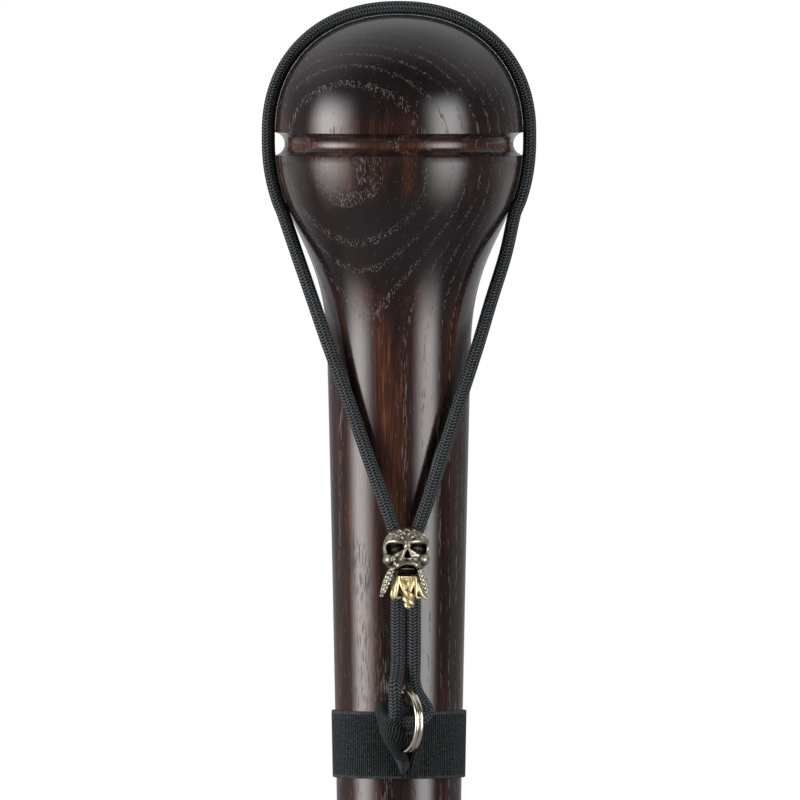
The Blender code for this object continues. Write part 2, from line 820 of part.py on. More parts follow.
def make_bead(home):
    silver = material("aged nickel silver", (0.36, 0.34, 0.30), 0.30, 1.0)
    bead = melted("skull_bead", skull_pieces(home), skull_hollows(home), BEAD_VOXEL, home, silver)
    bead.data.transform(Matrix.Rotation(SKULL_TURN, 4, "Z"))
    bead = thin_out(bead, 0.12)
    w, d, h = SKULL_HALF_WIDTH, SKULL_HALF_DEPTH, SKULL_HALF_HEIGHT
    behind = bead_place().y + stick_radius(SKULL_MIDDLE) + BEAD_STANDOFF
    cuts = [
        channel(home),
        block("flat back", (-2 * w, -behind, -2 * h), (2 * w, 3 * d, 2 * h), home),
        block("flat foot", (-0.72 * w, -0.68 * d, -1.6 * h), (0.72 * w, 3 * d, -JAW_DEPTH), home),
    ]
    for cut in cuts:
        boolean(bead, cut, "DIFFERENCE")
    done = made_mesh(bead)
    for cut in cuts:
        bpy.data.objects.remove(cut, do_unlink=True)
    done.location = bead_place()
    done.data.shade_smooth()
    done.data.set_sharp_from_angle(angle=math.radians(50))
    return done


def beard_locks(home):
    """A middle lock with a twisted tail between two that curl outwards, all hanging from under the jaw."""
    top = -JAW_DEPTH + 0.0008
    long = BEARD_LENGTH
    middle = [
        (0, -0.0042, top),
        (0.0001, -0.0052, top - 0.38 * long),
        (0.0005, -0.0056, top - 0.72 * long),
        (0.0010, -0.0052, top - 1.02 * long),
    ]
    locks = [strand("bead_beard", middle, (0.0015, 0.0019, 0.0015, 0.0007), home)]
    for side in (-1, 1):
        outer = [
            (side * 0.0017, -0.0042, top),
            (side * 0.0027, -0.0049, top - 0.36 * long),
            (side * 0.0042, -0.0050, top - 0.68 * long),
        ]
        locks.append(strand("lock", outer, (0.0012, 0.0012, 0.0006), home))
    return locks


def make_beard(home):
    brass = material("gilt brass", (0.72, 0.50, 0.20), 0.25, 1.0)
    beard = melted("bead_beard", beard_locks(home), [], BEAD_VOXEL, home, brass)
    beard.data.transform(Matrix.Rotation(SKULL_TURN, 4, "Z"))
    beard = thin_out(beard, 0.2)
    w, d, h = SKULL_HALF_WIDTH, SKULL_HALF_DEPTH, SKULL_HALF_HEIGHT
    ceiling = block("chin", (-3 * w, -3 * d, -JAW_DEPTH - CLEARANCE), (3 * w, 3 * d, 2 * h), home)
    boolean(beard, ceiling, "DIFFERENCE")
    done = made_mesh(beard)
    bpy.data.objects.remove(ceiling, do_unlink=True)
    done.location = bead_place()
    done.data.shade_smooth()
    done.data.set_sharp_from_angle(angle=math.radians(50))
    return done


def main():
    start()
    home = collection("walking_stick")
    sheath = material("black braided cord", (0.014, 0.015, 0.017), 0.7)
    make_stick(home)
    make_ferrule(home)
    make_washer(home)
    make_cord(home, sheath)
    make_ring(home)
    make_knot(home, sheath)
    make_elastic(home)
    make_bead(home)
    make_beard(home)


main()
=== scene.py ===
import math
from functools import partial

import bpy
import numpy as np
from mathutils import Matrix, Vector


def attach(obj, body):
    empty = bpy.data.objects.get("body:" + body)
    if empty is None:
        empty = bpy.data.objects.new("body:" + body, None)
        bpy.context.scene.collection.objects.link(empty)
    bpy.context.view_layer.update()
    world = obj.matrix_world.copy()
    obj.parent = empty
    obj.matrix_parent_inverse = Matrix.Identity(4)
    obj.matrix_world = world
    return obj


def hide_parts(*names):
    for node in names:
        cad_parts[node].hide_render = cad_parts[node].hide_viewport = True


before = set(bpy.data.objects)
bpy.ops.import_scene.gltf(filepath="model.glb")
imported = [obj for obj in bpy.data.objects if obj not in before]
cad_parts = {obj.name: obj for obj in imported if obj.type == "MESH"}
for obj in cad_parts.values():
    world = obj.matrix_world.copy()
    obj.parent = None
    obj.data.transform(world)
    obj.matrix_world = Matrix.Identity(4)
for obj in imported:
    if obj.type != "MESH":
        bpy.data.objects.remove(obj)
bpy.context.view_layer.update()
mm = 0.001


# Small helpers

def linear(code):  # an sRGB hex colour as linear values
    parts = [int(code[i:i + 2], 16) / 255 for i in (1, 3, 5)]
    return tuple(c / 12.92 if c <= 0.04045 else ((c + 0.055) / 1.055) ** 2.4 for c in parts) + (1.0,)


def setInputs(node, given):  # each is a value, a hex colour, a node or an output of one; None leaves it as it is
    for key, value in given.items():
        if isinstance(value, bpy.types.Node):
            value = next(socket for socket in value.outputs if socket.enabled)
        if isinstance(value, bpy.types.NodeSocket):
            node.id_data.links.new(value, node.inputs[key])
        elif value is not None:
            node.inputs[key].default_value = linear(value) if isinstance(value, str) else value


def addNode(tree, kind, *inputs, **settings):
    # a kind in capitals is an operation of the Math node, and a Mix takes its share and two colours
    # other inputs are in the sockets' order, or one dictionary by name or number
    if kind.isupper():
        kind, settings["operation"] = "Math", kind
    if kind == "Mix":
        settings["data_type"], inputs = "RGBA", [dict(zip((0, 6, 7), inputs))]
    node = tree.nodes.new("ShaderNode" + kind)
    stops = settings.pop("stops", None)
    for key, value in settings.items():
        setattr(node, key, value)
    setInputs(node, inputs[0] if inputs and isinstance(inputs[0], dict) else dict(enumerate(inputs)))
    if kind == "ValToRGB":
        marks = node.color_ramp.elements
        while len(marks) < len(stops):
            marks.new(1.0)
        for mark, (place, colour) in zip(marks, stops):
            mark.position = place
            mark.color = linear(colour) if isinstance(colour, str) else (colour, colour, colour, 1)
    if kind == "FloatCurve":
        line = node.mapping.curves[0]
        line.points[0].location, line.points[1].location = stops[0], stops[-1]
        for stop in stops[1:-1]:
            line.points.new(*stop)
        node.mapping.update()
    return node


def newMaterial(name, roughness, metallic=0.0, ior=1.5):  # with a function that adds nodes to it, and its shader
    made = bpy.data.materials.new(name)
    made.use_nodes = True
    shader = made.node_tree.nodes["Principled BSDF"]
    setInputs(shader, {"Roughness": roughness, "Metallic": metallic, "IOR": ior})
    return made, partial(addNode, made.node_tree), shader


def connect(shader, colour, roughness=None, height=None, depth=0.0):  # nodes into the shader; depth of the bump in m
    setInputs(shader, {"Base Color": colour, "Roughness": roughness})
    if height:
        relief = addNode(shader.id_data, "Bump", {"Strength": 1.0, "Distance": depth, "Height": height})
        setInputs(shader, {"Normal": relief})


def deselectAll():
    if bpy.context.object and bpy.context.object.mode != "OBJECT":
        bpy.ops.object.mode_set(mode="OBJECT")
    bpy.ops.object.select_all(action="DESELECT")


def selectOnly(*pieces):
    deselectAll()
    for piece in pieces:
        piece.select_set(True)
    bpy.context.view_layer.objects.active = pieces[0]


def applyPlace():
    bpy.ops.object.transform_apply(location=True, rotation=True, scale=True)
    return bpy.context.object


def startEdit():
    bpy.ops.object.mode_set(mode="EDIT")
    bpy.ops.mesh.select_all(action="SELECT")


def endEdit():
    bpy.ops.mesh.select_all(action="SELECT")
    bpy.ops.mesh.normals_make_consistent(inside=False)
    bpy.ops.object.mode_set(mode="OBJECT")


def roundedSection(place, tilt, size, corner, segments):  # a flat section with rounded corners, left in edit mode
    deselectAll()
    bpy.ops.mesh.primitive_plane_add(size=1, location=place, rotation=(tilt, 0, 0))
    bpy.context.object.scale = (*size, 1)
    obj = applyPlace()
    startEdit()
    bpy.ops.mesh.bevel(affect="VERTICES", offset=corner, segments=segments)
    return obj


def applyModifiers(obj):
    selectOnly(obj)
    for modifier in list(obj.modifiers):
        bpy.ops.object.modifier_apply(modifier=modifier.name)


def joinPieces(name, pieces):
    selectOnly(*pieces)
    bpy.ops.object.join()
    pieces[0].name = name
    return pieces[0]


def smoothEdges(obj, angle=50):
    selectOnly(obj)
    bpy.ops.object.shade_smooth_by_angle(angle=math.radians(angle))


def meshFrom(name, points, faces):
    mesh = bpy.data.meshes.new(name)
    mesh.from_pydata([tuple(p) for p in points], [], faces)
    mesh.update()
    obj = bpy.data.objects.new(name, mesh)
    bpy.context.scene.collection.objects.link(obj)
    return obj


def runAlong(points):
    return np.concatenate([[0], np.cumsum(np.linalg.norm(np.diff(points, axis=0), axis=1))])


def smoothThrough(points, count):  # evenly spaced points on a smooth curve through the given ones
    given = np.array(points, float)
    guide = np.vstack([2 * given[0] - given[1], given, 2 * given[-1] - given[-2]])
    fine = []
    for i in range(1, len(guide) - 2):
        before, here, there, after = guide[i - 1:i + 3]
        for t in np.linspace(0, 1, 24, endpoint=False):
            fine.append(0.5 * (2 * here + (there - before) * t
                               + (2 * before - 5 * here + 4 * there - after) * t * t
                               + (3 * here - before - 3 * there + after) * t ** 3))
    fine = np.array(fine + [guide[-2]])
    run = runAlong(fine)
    wanted = np.linspace(0, run[-1], count)
    return np.column_stack([np.interp(wanted, run, fine[:, k]) for k in range(given.shape[1])])


def bezier(a, b, c, d, count):
    corners = np.array([a, b, c, d], float)
    t = np.linspace(0, 1, count + 1)[:, None]
    s = 1 - t
    return s ** 3 * corners[0] + 3 * s * s * t * corners[1] + 3 * s * t * t * corners[2] + t ** 3 * corners[3]


# Camera: a long lens, far off, looking down by about one degree; it sees 0.24 m across

camera = {"distance": 10.0, "height": 1.02, "aim": (0.0003, 0.0, 0.7993), "seen": 0.24,
          "sensor": 36.0, "clip": (0.1, 200.0)}


def placeCamera():
    aim = Vector(camera["aim"])
    place = Vector((aim.x, -camera["distance"], camera["height"]))
    bpy.ops.object.camera_add(location=place)
    made = bpy.context.object
    made.name = "studioCamera"
    made.rotation_euler = (aim - place).to_track_quat("-Z", "Y").to_euler()
    made.data.sensor_width = camera["sensor"]
    made.data.lens = camera["sensor"] * (aim - place).length / camera["seen"]
    made.data.clip_start, made.data.clip_end = camera["clip"]
    bpy.context.scene.camera = made


deselectAll()
placeCamera()
print("camera placed")


# Stick sizes, as in the solid model

stick = {
    "top": 0.915, "headRadius": 0.0372, "domeHeight": 0.0358, "squareness": 2.19,
    "waist": 0.0019, "grooveDrop": 0.003, "grooveWidth": 0.0069, "grooveDepth": 0.0029,
    "bellHeight": 0.0614, "bellShoulder": 0.0268, "bellNeck": 0.0317,
    "neckRadius": 0.0216, "neckFlare": 0.0007, "middleRadius": 0.0163,
    "lowerRadius": 0.0138, "tipRadius": 0.0125, "tipHeight": 0.0103, "steps": 180,
}


def domeOutline(count):
    angles = np.linspace(0, math.pi / 2, count + 1)
    power = 2 / stick["squareness"]
    base = stick["top"] - stick["domeHeight"]
    radius = stick["headRadius"] * np.sin(angles) ** power
    height = base + stick["domeHeight"] * np.cos(angles) ** power
    radius[0] = 0
    height[-1] = base
    return np.column_stack([radius, height])


def sideOutline(fine):  # the stick's side without its groove, from the top to the tip, as radius and height
    s = stick
    bellTop = s["top"] - s["domeHeight"] - s["waist"]
    neck = bellTop - s["bellHeight"]
    long = neck - s["tipHeight"]
    bell = bezier((s["headRadius"], bellTop), (s["headRadius"], bellTop - s["bellShoulder"]),
                  (s["neckRadius"] + s["neckFlare"], neck + s["bellNeck"]), (s["neckRadius"], neck), 11 * fine)
    shaft = bezier((s["neckRadius"], neck), (s["middleRadius"], neck - 0.25 * long),
                   (s["lowerRadius"], s["tipHeight"] + 0.36 * long), (s["tipRadius"], s["tipHeight"]), 9 * fine)
    return np.vstack([domeOutline(10 * fine), bell[1:], shaft[1:]])


side = sideOutline(6)


def stickRadius(height):
    return float(np.interp(height, side[::-1, 1], side[::-1, 0]))


# Cord: both legs and the lower ends are one length of cord, laid as a tube along its route

cord = {
    "diameter": 4.0 * mm, "legMiddle": 0.00205, "legPitch": 0.0047, "legDepth": 0.0249976,
    "beadMouth": 0.7610, "beadThroat": 0.7560, "endHeight": 0.7220, "lean": 0.0046, "leave": 0.8545,
    "clear": 0.0003, "overHead": 0.00003, "sides": 32, "step": 0.55 * mm,
    "pressed": 0.09, "pressedFrom": (0.716, 0.750),
    # how far the left and the right leg have gone, at six places, from the bead to where they leave the wood:
    # across, in depth and in height
    "legWays": {
        -1: ((0.090, 0.034, 0.089), (0.252, 0.176, 0.249), (0.411, 0.313, 0.410),
             (0.594, 0.499, 0.586), (0.729, 0.675, 0.723), (0.876, 0.855, 0.872)),
        1: ((0.103, 0.049, 0.089), (0.270, 0.186, 0.249), (0.438, 0.352, 0.410),
            (0.623, 0.528, 0.586), (0.756, 0.694, 0.723), (0.907, 0.860, 0.872)),
    },
}
ring = {
    "outer": 9.5 * mm, "wire": 1.4 * mm, "coil": 1.25 * mm, "gap": 0.1 * mm, "round": 0.42 * mm, "steps": 280,
    "centre": Vector((0.00225, -0.029989, 0.7039)), "turn": math.radians(25), "crank": math.radians(34),
}
ringAlong = Vector((math.sin(ring["turn"]), -math.cos(ring["turn"]), 0))
ringAxis = Vector((math.cos(ring["turn"]), math.sin(ring["turn"]), 0))


def ringPlace(along, up, through=0.0):
    return ring["centre"] + ringAlong * along + Vector((0, 0, up)) + ringAxis * through


def legPoints(sign, leave):  # sign is -1 on the left and 1 on the right; leave is where the leg leaves the wood
    leg = cord["legMiddle"] + sign * cord["legPitch"] / 2
    depth = -cord["legDepth"]
    mouth = (leg + sign * 0.0012, depth, cord["beadMouth"])
    points = []
    for up in (0, 0.235, 0.53, 0.82):
        points.append((leg, depth, cord["endHeight"] + up * (cord["beadThroat"] - cord["endHeight"])))
    points += [(leg + sign * 0.0001, depth, cord["beadThroat"]), mouth]
    for share in cord["legWays"][sign]:
        points.append(tuple(low + s * (high - low) for low, high, s in zip(mouth, leave, share)))
    return points


def headPoints(count):
    outline = side[side[:, 1] > cord["leave"] - 0.004]
    along = np.gradient(outline, axis=0)
    along /= np.linalg.norm(along, axis=1)[:, None]
    away = cord["diameter"] / 2 + cord["overHead"]
    radius = outline[:, 0] - along[:, 1] * away
    height = outline[:, 1] + along[:, 0] * away
    keep = height > cord["leave"]
    radius, height = radius[keep], height[keep]
    drop = (stick["top"] - height) / (stick["top"] - cord["leave"])
    lean = cord["lean"] * np.clip(drop, 0, 1) ** 2
    across = np.sqrt(np.maximum(radius ** 2 - lean ** 2, 0))
    half = np.column_stack([across, -lean, height])[1:]
    picked = half[np.linspace(len(half) - 1, 0, count).astype(int)]
    return [*map(tuple, picked * (-1, 1, 1)), (0, 0, stick["top"] + away), *map(tuple, picked[::-1])]


def clearOfStick(points):  # the legs just clear of the bell and the shaft
    out = []
    neck = stick["top"] - stick["domeHeight"] - stick["waist"] - stick["bellHeight"]
    for x, y, z in points:
        away = math.hypot(x, y)
        least = stickRadius(z) + cord["diameter"] / 2 + cord["clear"]
        if z < neck + 0.02 and away < least:
            x, y = x * least / away, y * least / away
        out.append((x, y, z))
    return np.array(out)


def lowerEnds():  # the left end goes down beside the ring, the right end round behind it and through its hole
    left = cord["legMiddle"] - cord["legPitch"] / 2
    right = cord["legMiddle"] + cord["legPitch"] / 2
    depth = -cord["legDepth"]
    top = cord["endHeight"] - cord["clear"]
    beside = -(ring["coil"] + ring["gap"] / 2 + cord["diameter"] / 2 + 1.6 * cord["clear"])
    down = [
        (left - 0.0001, depth - 0.0004, top - 0.0015), (left - 0.0004, depth - 0.0018, top - 0.0045),
        ringPlace(-0.0008, 0.0104, beside + 0.0003), ringPlace(0.0002, 0.0070, beside),
        ringPlace(0.0004, 0.0030, beside), ringPlace(-0.0008, -0.0008, beside), ringPlace(-0.0020, -0.0030, beside),
    ]
    through = [
        (right, depth, top - 0.0027), (right + 0.0001, depth, top - 0.0062),
        (right + 0.0010, depth - 0.0002, top - 0.0094), (right + 0.0029, depth - 0.0006, top - 0.0126),
        ringPlace(-0.0008, 0.0028, 0.0072), ringPlace(0.0000, 0.0004, 0.0048),
        ringPlace(0.0002, -0.0004, 0.0014), ringPlace(0.0002, -0.0006, -0.0020),
        ringPlace(0.0000, -0.0010, beside + 0.0002),
    ]
    return [tuple(p) for p in down], [tuple(p) for p in through]


def cordRoute():
    head = headPoints(28)
    middle = clearOfStick(smoothThrough(legPoints(-1, head[0]) + head + legPoints(1, head[-1])[::-1], 240))
    down, through = lowerEnds()
    route = np.vstack([down[::-1], middle, through])
    return smoothThrough(route, int(runAlong(route)[-1] / cord["step"]))


def sweep(name, route, radii, sides, wide=None):
    # a closed tube along the route, with a UV map that runs once round it and along it in metres
    # where wide is above 1 it is that much wider from left to right, and as much thinner from front to back
    route = np.asarray(route, float)
    radii = np.broadcast_to(np.asarray(radii, float), (len(route),))
    wide = np.ones(len(route)) if wide is None else wide
    tangents = np.gradient(route, axis=0)
    tangents /= np.linalg.norm(tangents, axis=1)[:, None]
    run = runAlong(route)
    across = np.cross(tangents[0], (0, 1, 0) if abs(tangents[0][1]) < 0.9 else (1, 0, 0))
    points = []
    for place, along, radius, share in zip(route, tangents, radii, wide):
        across = across - along * across.dot(along)
        across /= np.linalg.norm(across)
        up = np.cross(along, across)
        for k in range(sides):
            turn = 2 * math.pi * k / sides
            arm = radius * (math.cos(turn) * across + math.sin(turn) * up)
            points.append(place + arm * (share, 1 / share, 1))
    faces = [tuple(reversed(range(sides)))]
    for i in range(len(route) - 1):
        for k in range(sides):
            a, b = i * sides + k, i * sides + (k + 1) % sides
            faces.append((a, b, b + sides, a + sides))
    last = (len(route) - 1) * sides
    faces.append(tuple(range(last, last + sides)))
    obj = meshFrom(name, points, faces)
    layer = obj.data.uv_layers.new(name="UVMap")
    for face in obj.data.polygons:
        seam = len(face.vertices) == 4 and max(v % sides for v in face.vertices) == sides - 1
        for corner, vertex in zip(face.loop_indices, face.vertices):
            i, k = divmod(vertex, sides)
            layer.data[corner].uv = (1.0 if seam and k == 0 else k / sides, run[i])
    obj.data.shade_smooth()
    return obj


cordPath = cordRoute()
# pulled tight side by side, the legs are a little flattened between the bead and the ring
foot, head = cord["pressedFrom"]
pressedShare = np.clip((head - cordPath[:, 2]) / 0.012, 0, 1) * np.clip((cordPath[:, 2] - foot) / 0.008, 0, 1)
flattened = 1 + cord["pressed"] * pressedShare
wristCord = sweep("wristCord", cordPath, cord["diameter"] / 2, cord["sides"], flattened)
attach(wristCord, "strap")
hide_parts("wrist_cord", "cord_knot")


# Turned wood: a profile built up point by point, then spun

def grooveOutline(count):
    half = stick["grooveWidth"] / 2
    radius = (half * half + stick["grooveDepth"] ** 2) / (2 * stick["grooveDepth"])
    middle = stick["headRadius"] - stick["grooveDepth"] + radius
    reach = math.atan2(half, radius - stick["grooveDepth"])
    angles = np.linspace(reach, -reach, count + 1)
    height = stick["top"] - stick["domeHeight"] - stick["grooveDrop"]
    return np.column_stack([middle - radius * np.cos(angles), height + radius * np.sin(angles)])


def stickProfile():
    middle = stick["top"] - stick["domeHeight"] - stick["grooveDrop"]
    half = stick["grooveWidth"] / 2 + 0.0003
    outline = sideOutline(3)
    above = [tuple(p) for p in outline if p[1] > middle + half]
    below = [tuple(p) for p in outline if p[1] < middle - half]
    groove = [(stickRadius(middle + half), middle + half), *map(tuple, grooveOutline(14)),
              (stickRadius(middle - half), middle - half)]
    end = below.pop()
    tip = [(end[0], end[1] + 0.001), (end[0] - 0.0003, end[1] + 0.0003), (end[0] - 0.001, end[1]), (0, end[1])]
    return above + groove + below + tip


def spunPiece(name, profile, steps):
    deselectAll()
    bpy.ops.mesh.primitive_plane_add(size=0.001, location=(profile[0][0], 0, profile[0][1]))
    obj = applyPlace()
    obj.name = name
    startEdit()
    bpy.ops.mesh.merge(type="CENTER")
    for here, there in zip(profile, profile[1:]):
        move = (there[0] - here[0], 0, there[1] - here[1])
        bpy.ops.mesh.extrude_region_move(TRANSFORM_OT_translate={"value": move})
    bpy.ops.mesh.select_all(action="SELECT")
    bpy.ops.mesh.spin(steps=steps, angle=2 * math.pi, center=(0, 0, 0), axis=(0, 0, 1))
    bpy.ops.mesh.select_all(action="SELECT")
    bpy.ops.mesh.remove_doubles(threshold=0.01 * mm)
    endEdit()
    smoothEdges(obj)
    return obj


turnedStick = spunPiece("turnedStick", stickProfile(), stick["steps"])
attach(turnedStick, "stick")
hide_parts("stick_body")
print("stick turned,", len(turnedStick.data.polygons), "faces")


# Foot: rubber ferrule, pushed on over its steel washer

ferrule = {
    "height": 0.042, "foot": 0.0185, "footHeight": 0.007, "wall": 0.0028, "floor": 0.0085,
    "collar": 0.0045, "step": 0.0009, "treadDepth": 0.0012, "treadGroove": 0.0014,
    "firstTread": 0.0065, "treadPitch": 0.0038, "treads": 3,
}


def ferruleProfile():
    f = ferrule
    socket = stickRadius(f["height"]) + 0.0003
    outside = socket + f["wall"]
    waist = f["footHeight"] + 0.006
    rim = outside + f["step"]
    points = [(0, f["floor"]), (socket, f["floor"]), (socket, f["height"] - 0.0006),
              (socket + 0.0002, f["height"] - 0.0002), (socket + 0.0006, f["height"]),
              (rim - 0.0008, f["height"]), (rim - 0.0003, f["height"] - 0.00012),
              (rim - 0.0001, f["height"] - 0.0004), (rim, f["height"] - 0.0008),
              (rim, f["height"] - f["collar"]), (rim - 0.0002, f["height"] - f["collar"] - 0.0004),
              (outside + 0.0002, f["height"] - f["collar"] - 0.0008), (outside, f["height"] - f["collar"] - 0.0013)]
    points += [tuple(p) for p in bezier((outside, waist + 0.008), (outside, waist), (f["foot"], waist),
                                        (f["foot"], f["footHeight"]), 14)]
    points += [(f["foot"], 0.0013), (f["foot"] - 0.00015, 0.0006),
               (f["foot"] - 0.0005, 0.0002), (f["foot"] - 0.0012, 0)]
    for i in reversed(range(f["treads"])):
        middle = f["firstTread"] + i * f["treadPitch"]
        half = f["treadGroove"] / 2
        points += [(middle + half, 0), (middle + half * 0.7, f["treadDepth"]),
                   (middle - half * 0.7, f["treadDepth"]), (middle - half, 0)]
    return points + [(0, 0)]


rubberFoot = spunPiece("rubberFoot", ferruleProfile(), 96)
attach(rubberFoot, "stick")
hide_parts("rubber_ferrule")
print("ferrule turned")


# Split ring: the wire's rounded section, extruded step by step round two coils, with a crank where it changes coil

def windRing():
    wire, coil, crank = ring["wire"], ring["coil"], ring["crank"]
    short = 0.65 * crank  # how far each end stops short of the middle of the crank
    step = (4 * math.pi - 2 * short) / ring["steps"]

    def shift(i):  # from one coil to the other within the crank
        t = min(max((step * i + short - 2 * math.pi) / crank + 0.5, 0), 1)
        return (coil + ring["gap"]) * (t * t * (3 - 2 * t) - 0.5)

    obj = roundedSection((ring["outer"] - wire / 2, 0, shift(0)), math.pi / 2, (wire, coil), ring["round"], 3)
    obj.name = "splitRing"
    for i in range(ring["steps"]):
        bpy.ops.mesh.extrude_region_move(TRANSFORM_OT_translate={"value": (0, 0, shift(i + 1) - shift(i))})
        bpy.ops.transform.rotate(value=step, orient_axis="Z", center_override=(0, 0, 0))
    endEdit()
    # its first end goes just past the back, and its axis from Z to the ring's own
    start = Matrix.Rotation(math.pi - short, 4, "Z")
    upright = Matrix((ringAlong, (0, 0, 1), -ringAxis)).transposed().to_4x4()
    obj.data.transform(Matrix.Translation(ring["centre"]) @ upright @ start)
    smoothEdges(obj)
    return obj


splitRing = windRing()
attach(splitRing, "ring")
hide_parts("split_ring")
print("ring wound")


# Elastic band: the belt, the keeper that the ring passes through, the fold left of the ring, and the lip
# right of the fold's slit

band = {
    "top": 0.7063, "width": 0.0201, "thick": 0.8 * mm, "edge": 0.25 * mm, "clear": 0.3 * mm, "ringHeight": 0.7039,
    "standoff": 0.0052, "keeper": 0.0088, "keeperRise": 0.0013, "halfAngle": math.radians(14),
    # the fold from its rim down to its foot, each row from the back round the left corner to the slit
    # in mm: to the right, out from the wood, up
    "fold": (
        ((-1.9, 6.4, 707.6), (-2.4, 6.2, 707.9), (-3.0, 6.6, 707.8), (-3.3, 7.6, 707.0), (-2.9, 9.4, 705.9),
         (-2.4, 11.2, 704.8), (-1.9, 12.4, 703.9), (-1.0, 13.2, 702.9), (0.5, 13.4, 701.9), (1.8, 13.4, 701.2)),
        ((-3.4, 4.6, 709.5), (-4.6, 4.4, 709.6), (-5.3, 5.6, 709.1), (-5.1, 7.4, 708.0), (-4.3, 9.5, 706.7),
         (-3.4, 11.7, 705.5), (-2.6, 13.3, 704.5), (-1.1, 14.3, 703.3), (0.7, 14.3, 702.2), (2.0, 13.9, 701.5)),
        ((-4.4, 3.3, 708.2), (-5.8, 3.0, 707.9), (-6.6, 4.6, 707.2), (-6.3, 7.0, 706.2), (-5.4, 9.4, 705.2),
         (-4.4, 11.8, 704.2), (-3.3, 13.8, 703.3), (-1.3, 14.8, 702.3), (0.7, 14.8, 701.4), (1.9, 14.2, 700.7)),
        ((-4.2, 1.3, 704.6), (-5.4, 1.3, 704.3), (-6.1, 2.8, 703.8), (-5.9, 6.0, 703.1), (-5.3, 9.0, 702.3),
         (-4.5, 11.4, 701.5), (-3.4, 13.4, 700.8), (-1.4, 14.4, 700.1), (0.5, 14.3, 699.4), (1.6, 13.6, 698.9)),
        ((-2.9, 1.4, 700.2), (-4.0, 1.4, 699.9), (-4.8, 2.6, 699.5), (-4.8, 5.4, 699.0), (-4.4, 8.2, 698.5),
         (-3.7, 10.2, 698.0), (-2.7, 11.7, 697.5), (-1.3, 12.4, 697.1), (-0.2, 12.2, 696.8), (0.4, 11.5, 696.5)),
        ((-0.8, 1.5, 696.0), (-1.7, 1.5, 695.8), (-2.5, 2.5, 695.5), (-2.5, 4.7, 695.1), (-2.1, 6.8, 694.7),
         (-1.5, 8.3, 694.3), (-0.6, 9.3, 693.9), (0.6, 9.6, 693.5), (1.6, 9.2, 693.1), (2.5, 8.0, 692.8)),
        ((1.0, 1.6, 692.0), (0.3, 1.6, 691.8), (-0.3, 2.3, 691.5), (-0.3, 3.7, 691.2), (0.1, 5.1, 691.0),
         (0.6, 5.9, 690.8), (1.2, 6.3, 690.6), (1.9, 6.1, 690.5), (2.5, 5.2, 690.4), (2.6, 3.8, 690.4)),
        ((1.6, 1.6, 688.4), (1.2, 1.6, 688.3), (0.9, 1.9, 688.2), (0.9, 2.4, 688.1), (1.0, 2.8, 688.0),
         (1.1, 3.0, 687.9), (1.3, 3.0, 687.9), (1.4, 2.8, 687.9), (1.5, 2.3, 688.0), (1.5, 1.8, 688.1))),
    # the lip from top to bottom, each row from the belt to the slit, in mm: to the right and out from the belt,
    # where the way to the right is bent round the radius
    "lipRadius": 20.4,
    "lip": (
        (698.6, ((6.6, 0.6), (6.0, 0.65), (5.4, 0.8), (5.0, 0.85), (4.7, 0.8), (4.5, 0.7), (4.4, 0.6))),
        (695.6, ((7.4, 0.6), (6.4, 1.1), (5.4, 1.8), (4.7, 2.2), (4.2, 1.9), (4.0, 1.3), (4.0, 0.8))),
        (692.2, ((7.0, 0.6), (5.9, 1.3), (4.7, 2.4), (3.9, 2.9), (3.3, 2.5), (3.1, 1.6), (3.2, 0.8))),
        (689.2, ((6.2, 0.6), (5.1, 1.2), (3.9, 2.1), (3.1, 2.5), (2.5, 2.1), (2.2, 1.3), (2.3, 0.8))),
        (686.6, ((5.4, 0.6), (4.4, 0.9), (3.4, 1.4), (2.7, 1.6), (2.2, 1.3), (1.9, 0.9), (1.9, 0.7)))),
}


def bandSurface(height, angle, out=0.0):
    radius = stickRadius(height) + band["clear"] + band["thick"] / 2 + out
    return (radius * math.sin(angle), -radius * math.cos(angle), height)


def clothGrid(name, rows, closed=False):
    # a sheet through rows of points, with a UV map in metres along the elastic and across it
    width = len(rows[0])
    faces = []
    for i in range(len(rows) if closed else len(rows) - 1):
        j = (i + 1) % len(rows)
        for k in range(width - 1):
            faces.append((i * width + k, j * width + k, j * width + k + 1, i * width + k + 1))
    obj = meshFrom(name, [p for row in rows for p in row], faces)
    grid = np.array(rows, float)
    middle = grid[:, width // 2]
    along = runAlong(np.vstack([middle, middle[:1]]) if closed else middle)
    across = runAlong(grid[0])
    layer = obj.data.uv_layers.new(name="UVMap")
    for face in obj.data.polygons:
        wraps = closed and max(v // width for v in face.vertices) - min(v // width for v in face.vertices) > 1
        for corner, vertex in zip(face.loop_indices, face.vertices):
            i, k = divmod(vertex, width)
            layer.data[corner].uv = (along[len(rows)] if wraps and i == 0 else along[i], across[k])
    thick = obj.modifiers.new("Thickness", "SOLIDIFY")
    thick.thickness = band["thick"]
    thick.offset = 0
    thick.use_even_offset = True
    soft = obj.modifiers.new("Round edge", "BEVEL")
    soft.width = band["edge"]
    soft.segments = 2
    soft.limit_method = "ANGLE"
    soft.angle_limit = math.radians(60)
    applyModifiers(obj)
    obj.data.shade_smooth()
    return obj


def joinRows(rows, count):  # columns of points, each smooth from the first row to the last
    return [[tuple(p) for p in smoothThrough(column, count)] for column in zip(*rows)]


def beltRows():
    heights = np.linspace(band["top"] - band["width"], band["top"], 14)
    return [[bandSurface(h, 2 * math.pi * i / 160) for h in heights] for i in range(160)]


def keeperRows():
    rows = []
    half = band["keeper"] / 2
    for t in np.linspace(0, 1, 37):
        out = band["standoff"] * math.sin(math.pi * t) ** 0.8
        rise = band["keeperRise"] * math.cos(0.5 * math.pi * min(t / 0.75, 1)) ** 2
        rows.append([bandSurface(band["ringHeight"] + h, band["halfAngle"] * (2 * t - 1), out)
                     for h in np.linspace(-half, half + rise, 10)])
    return rows


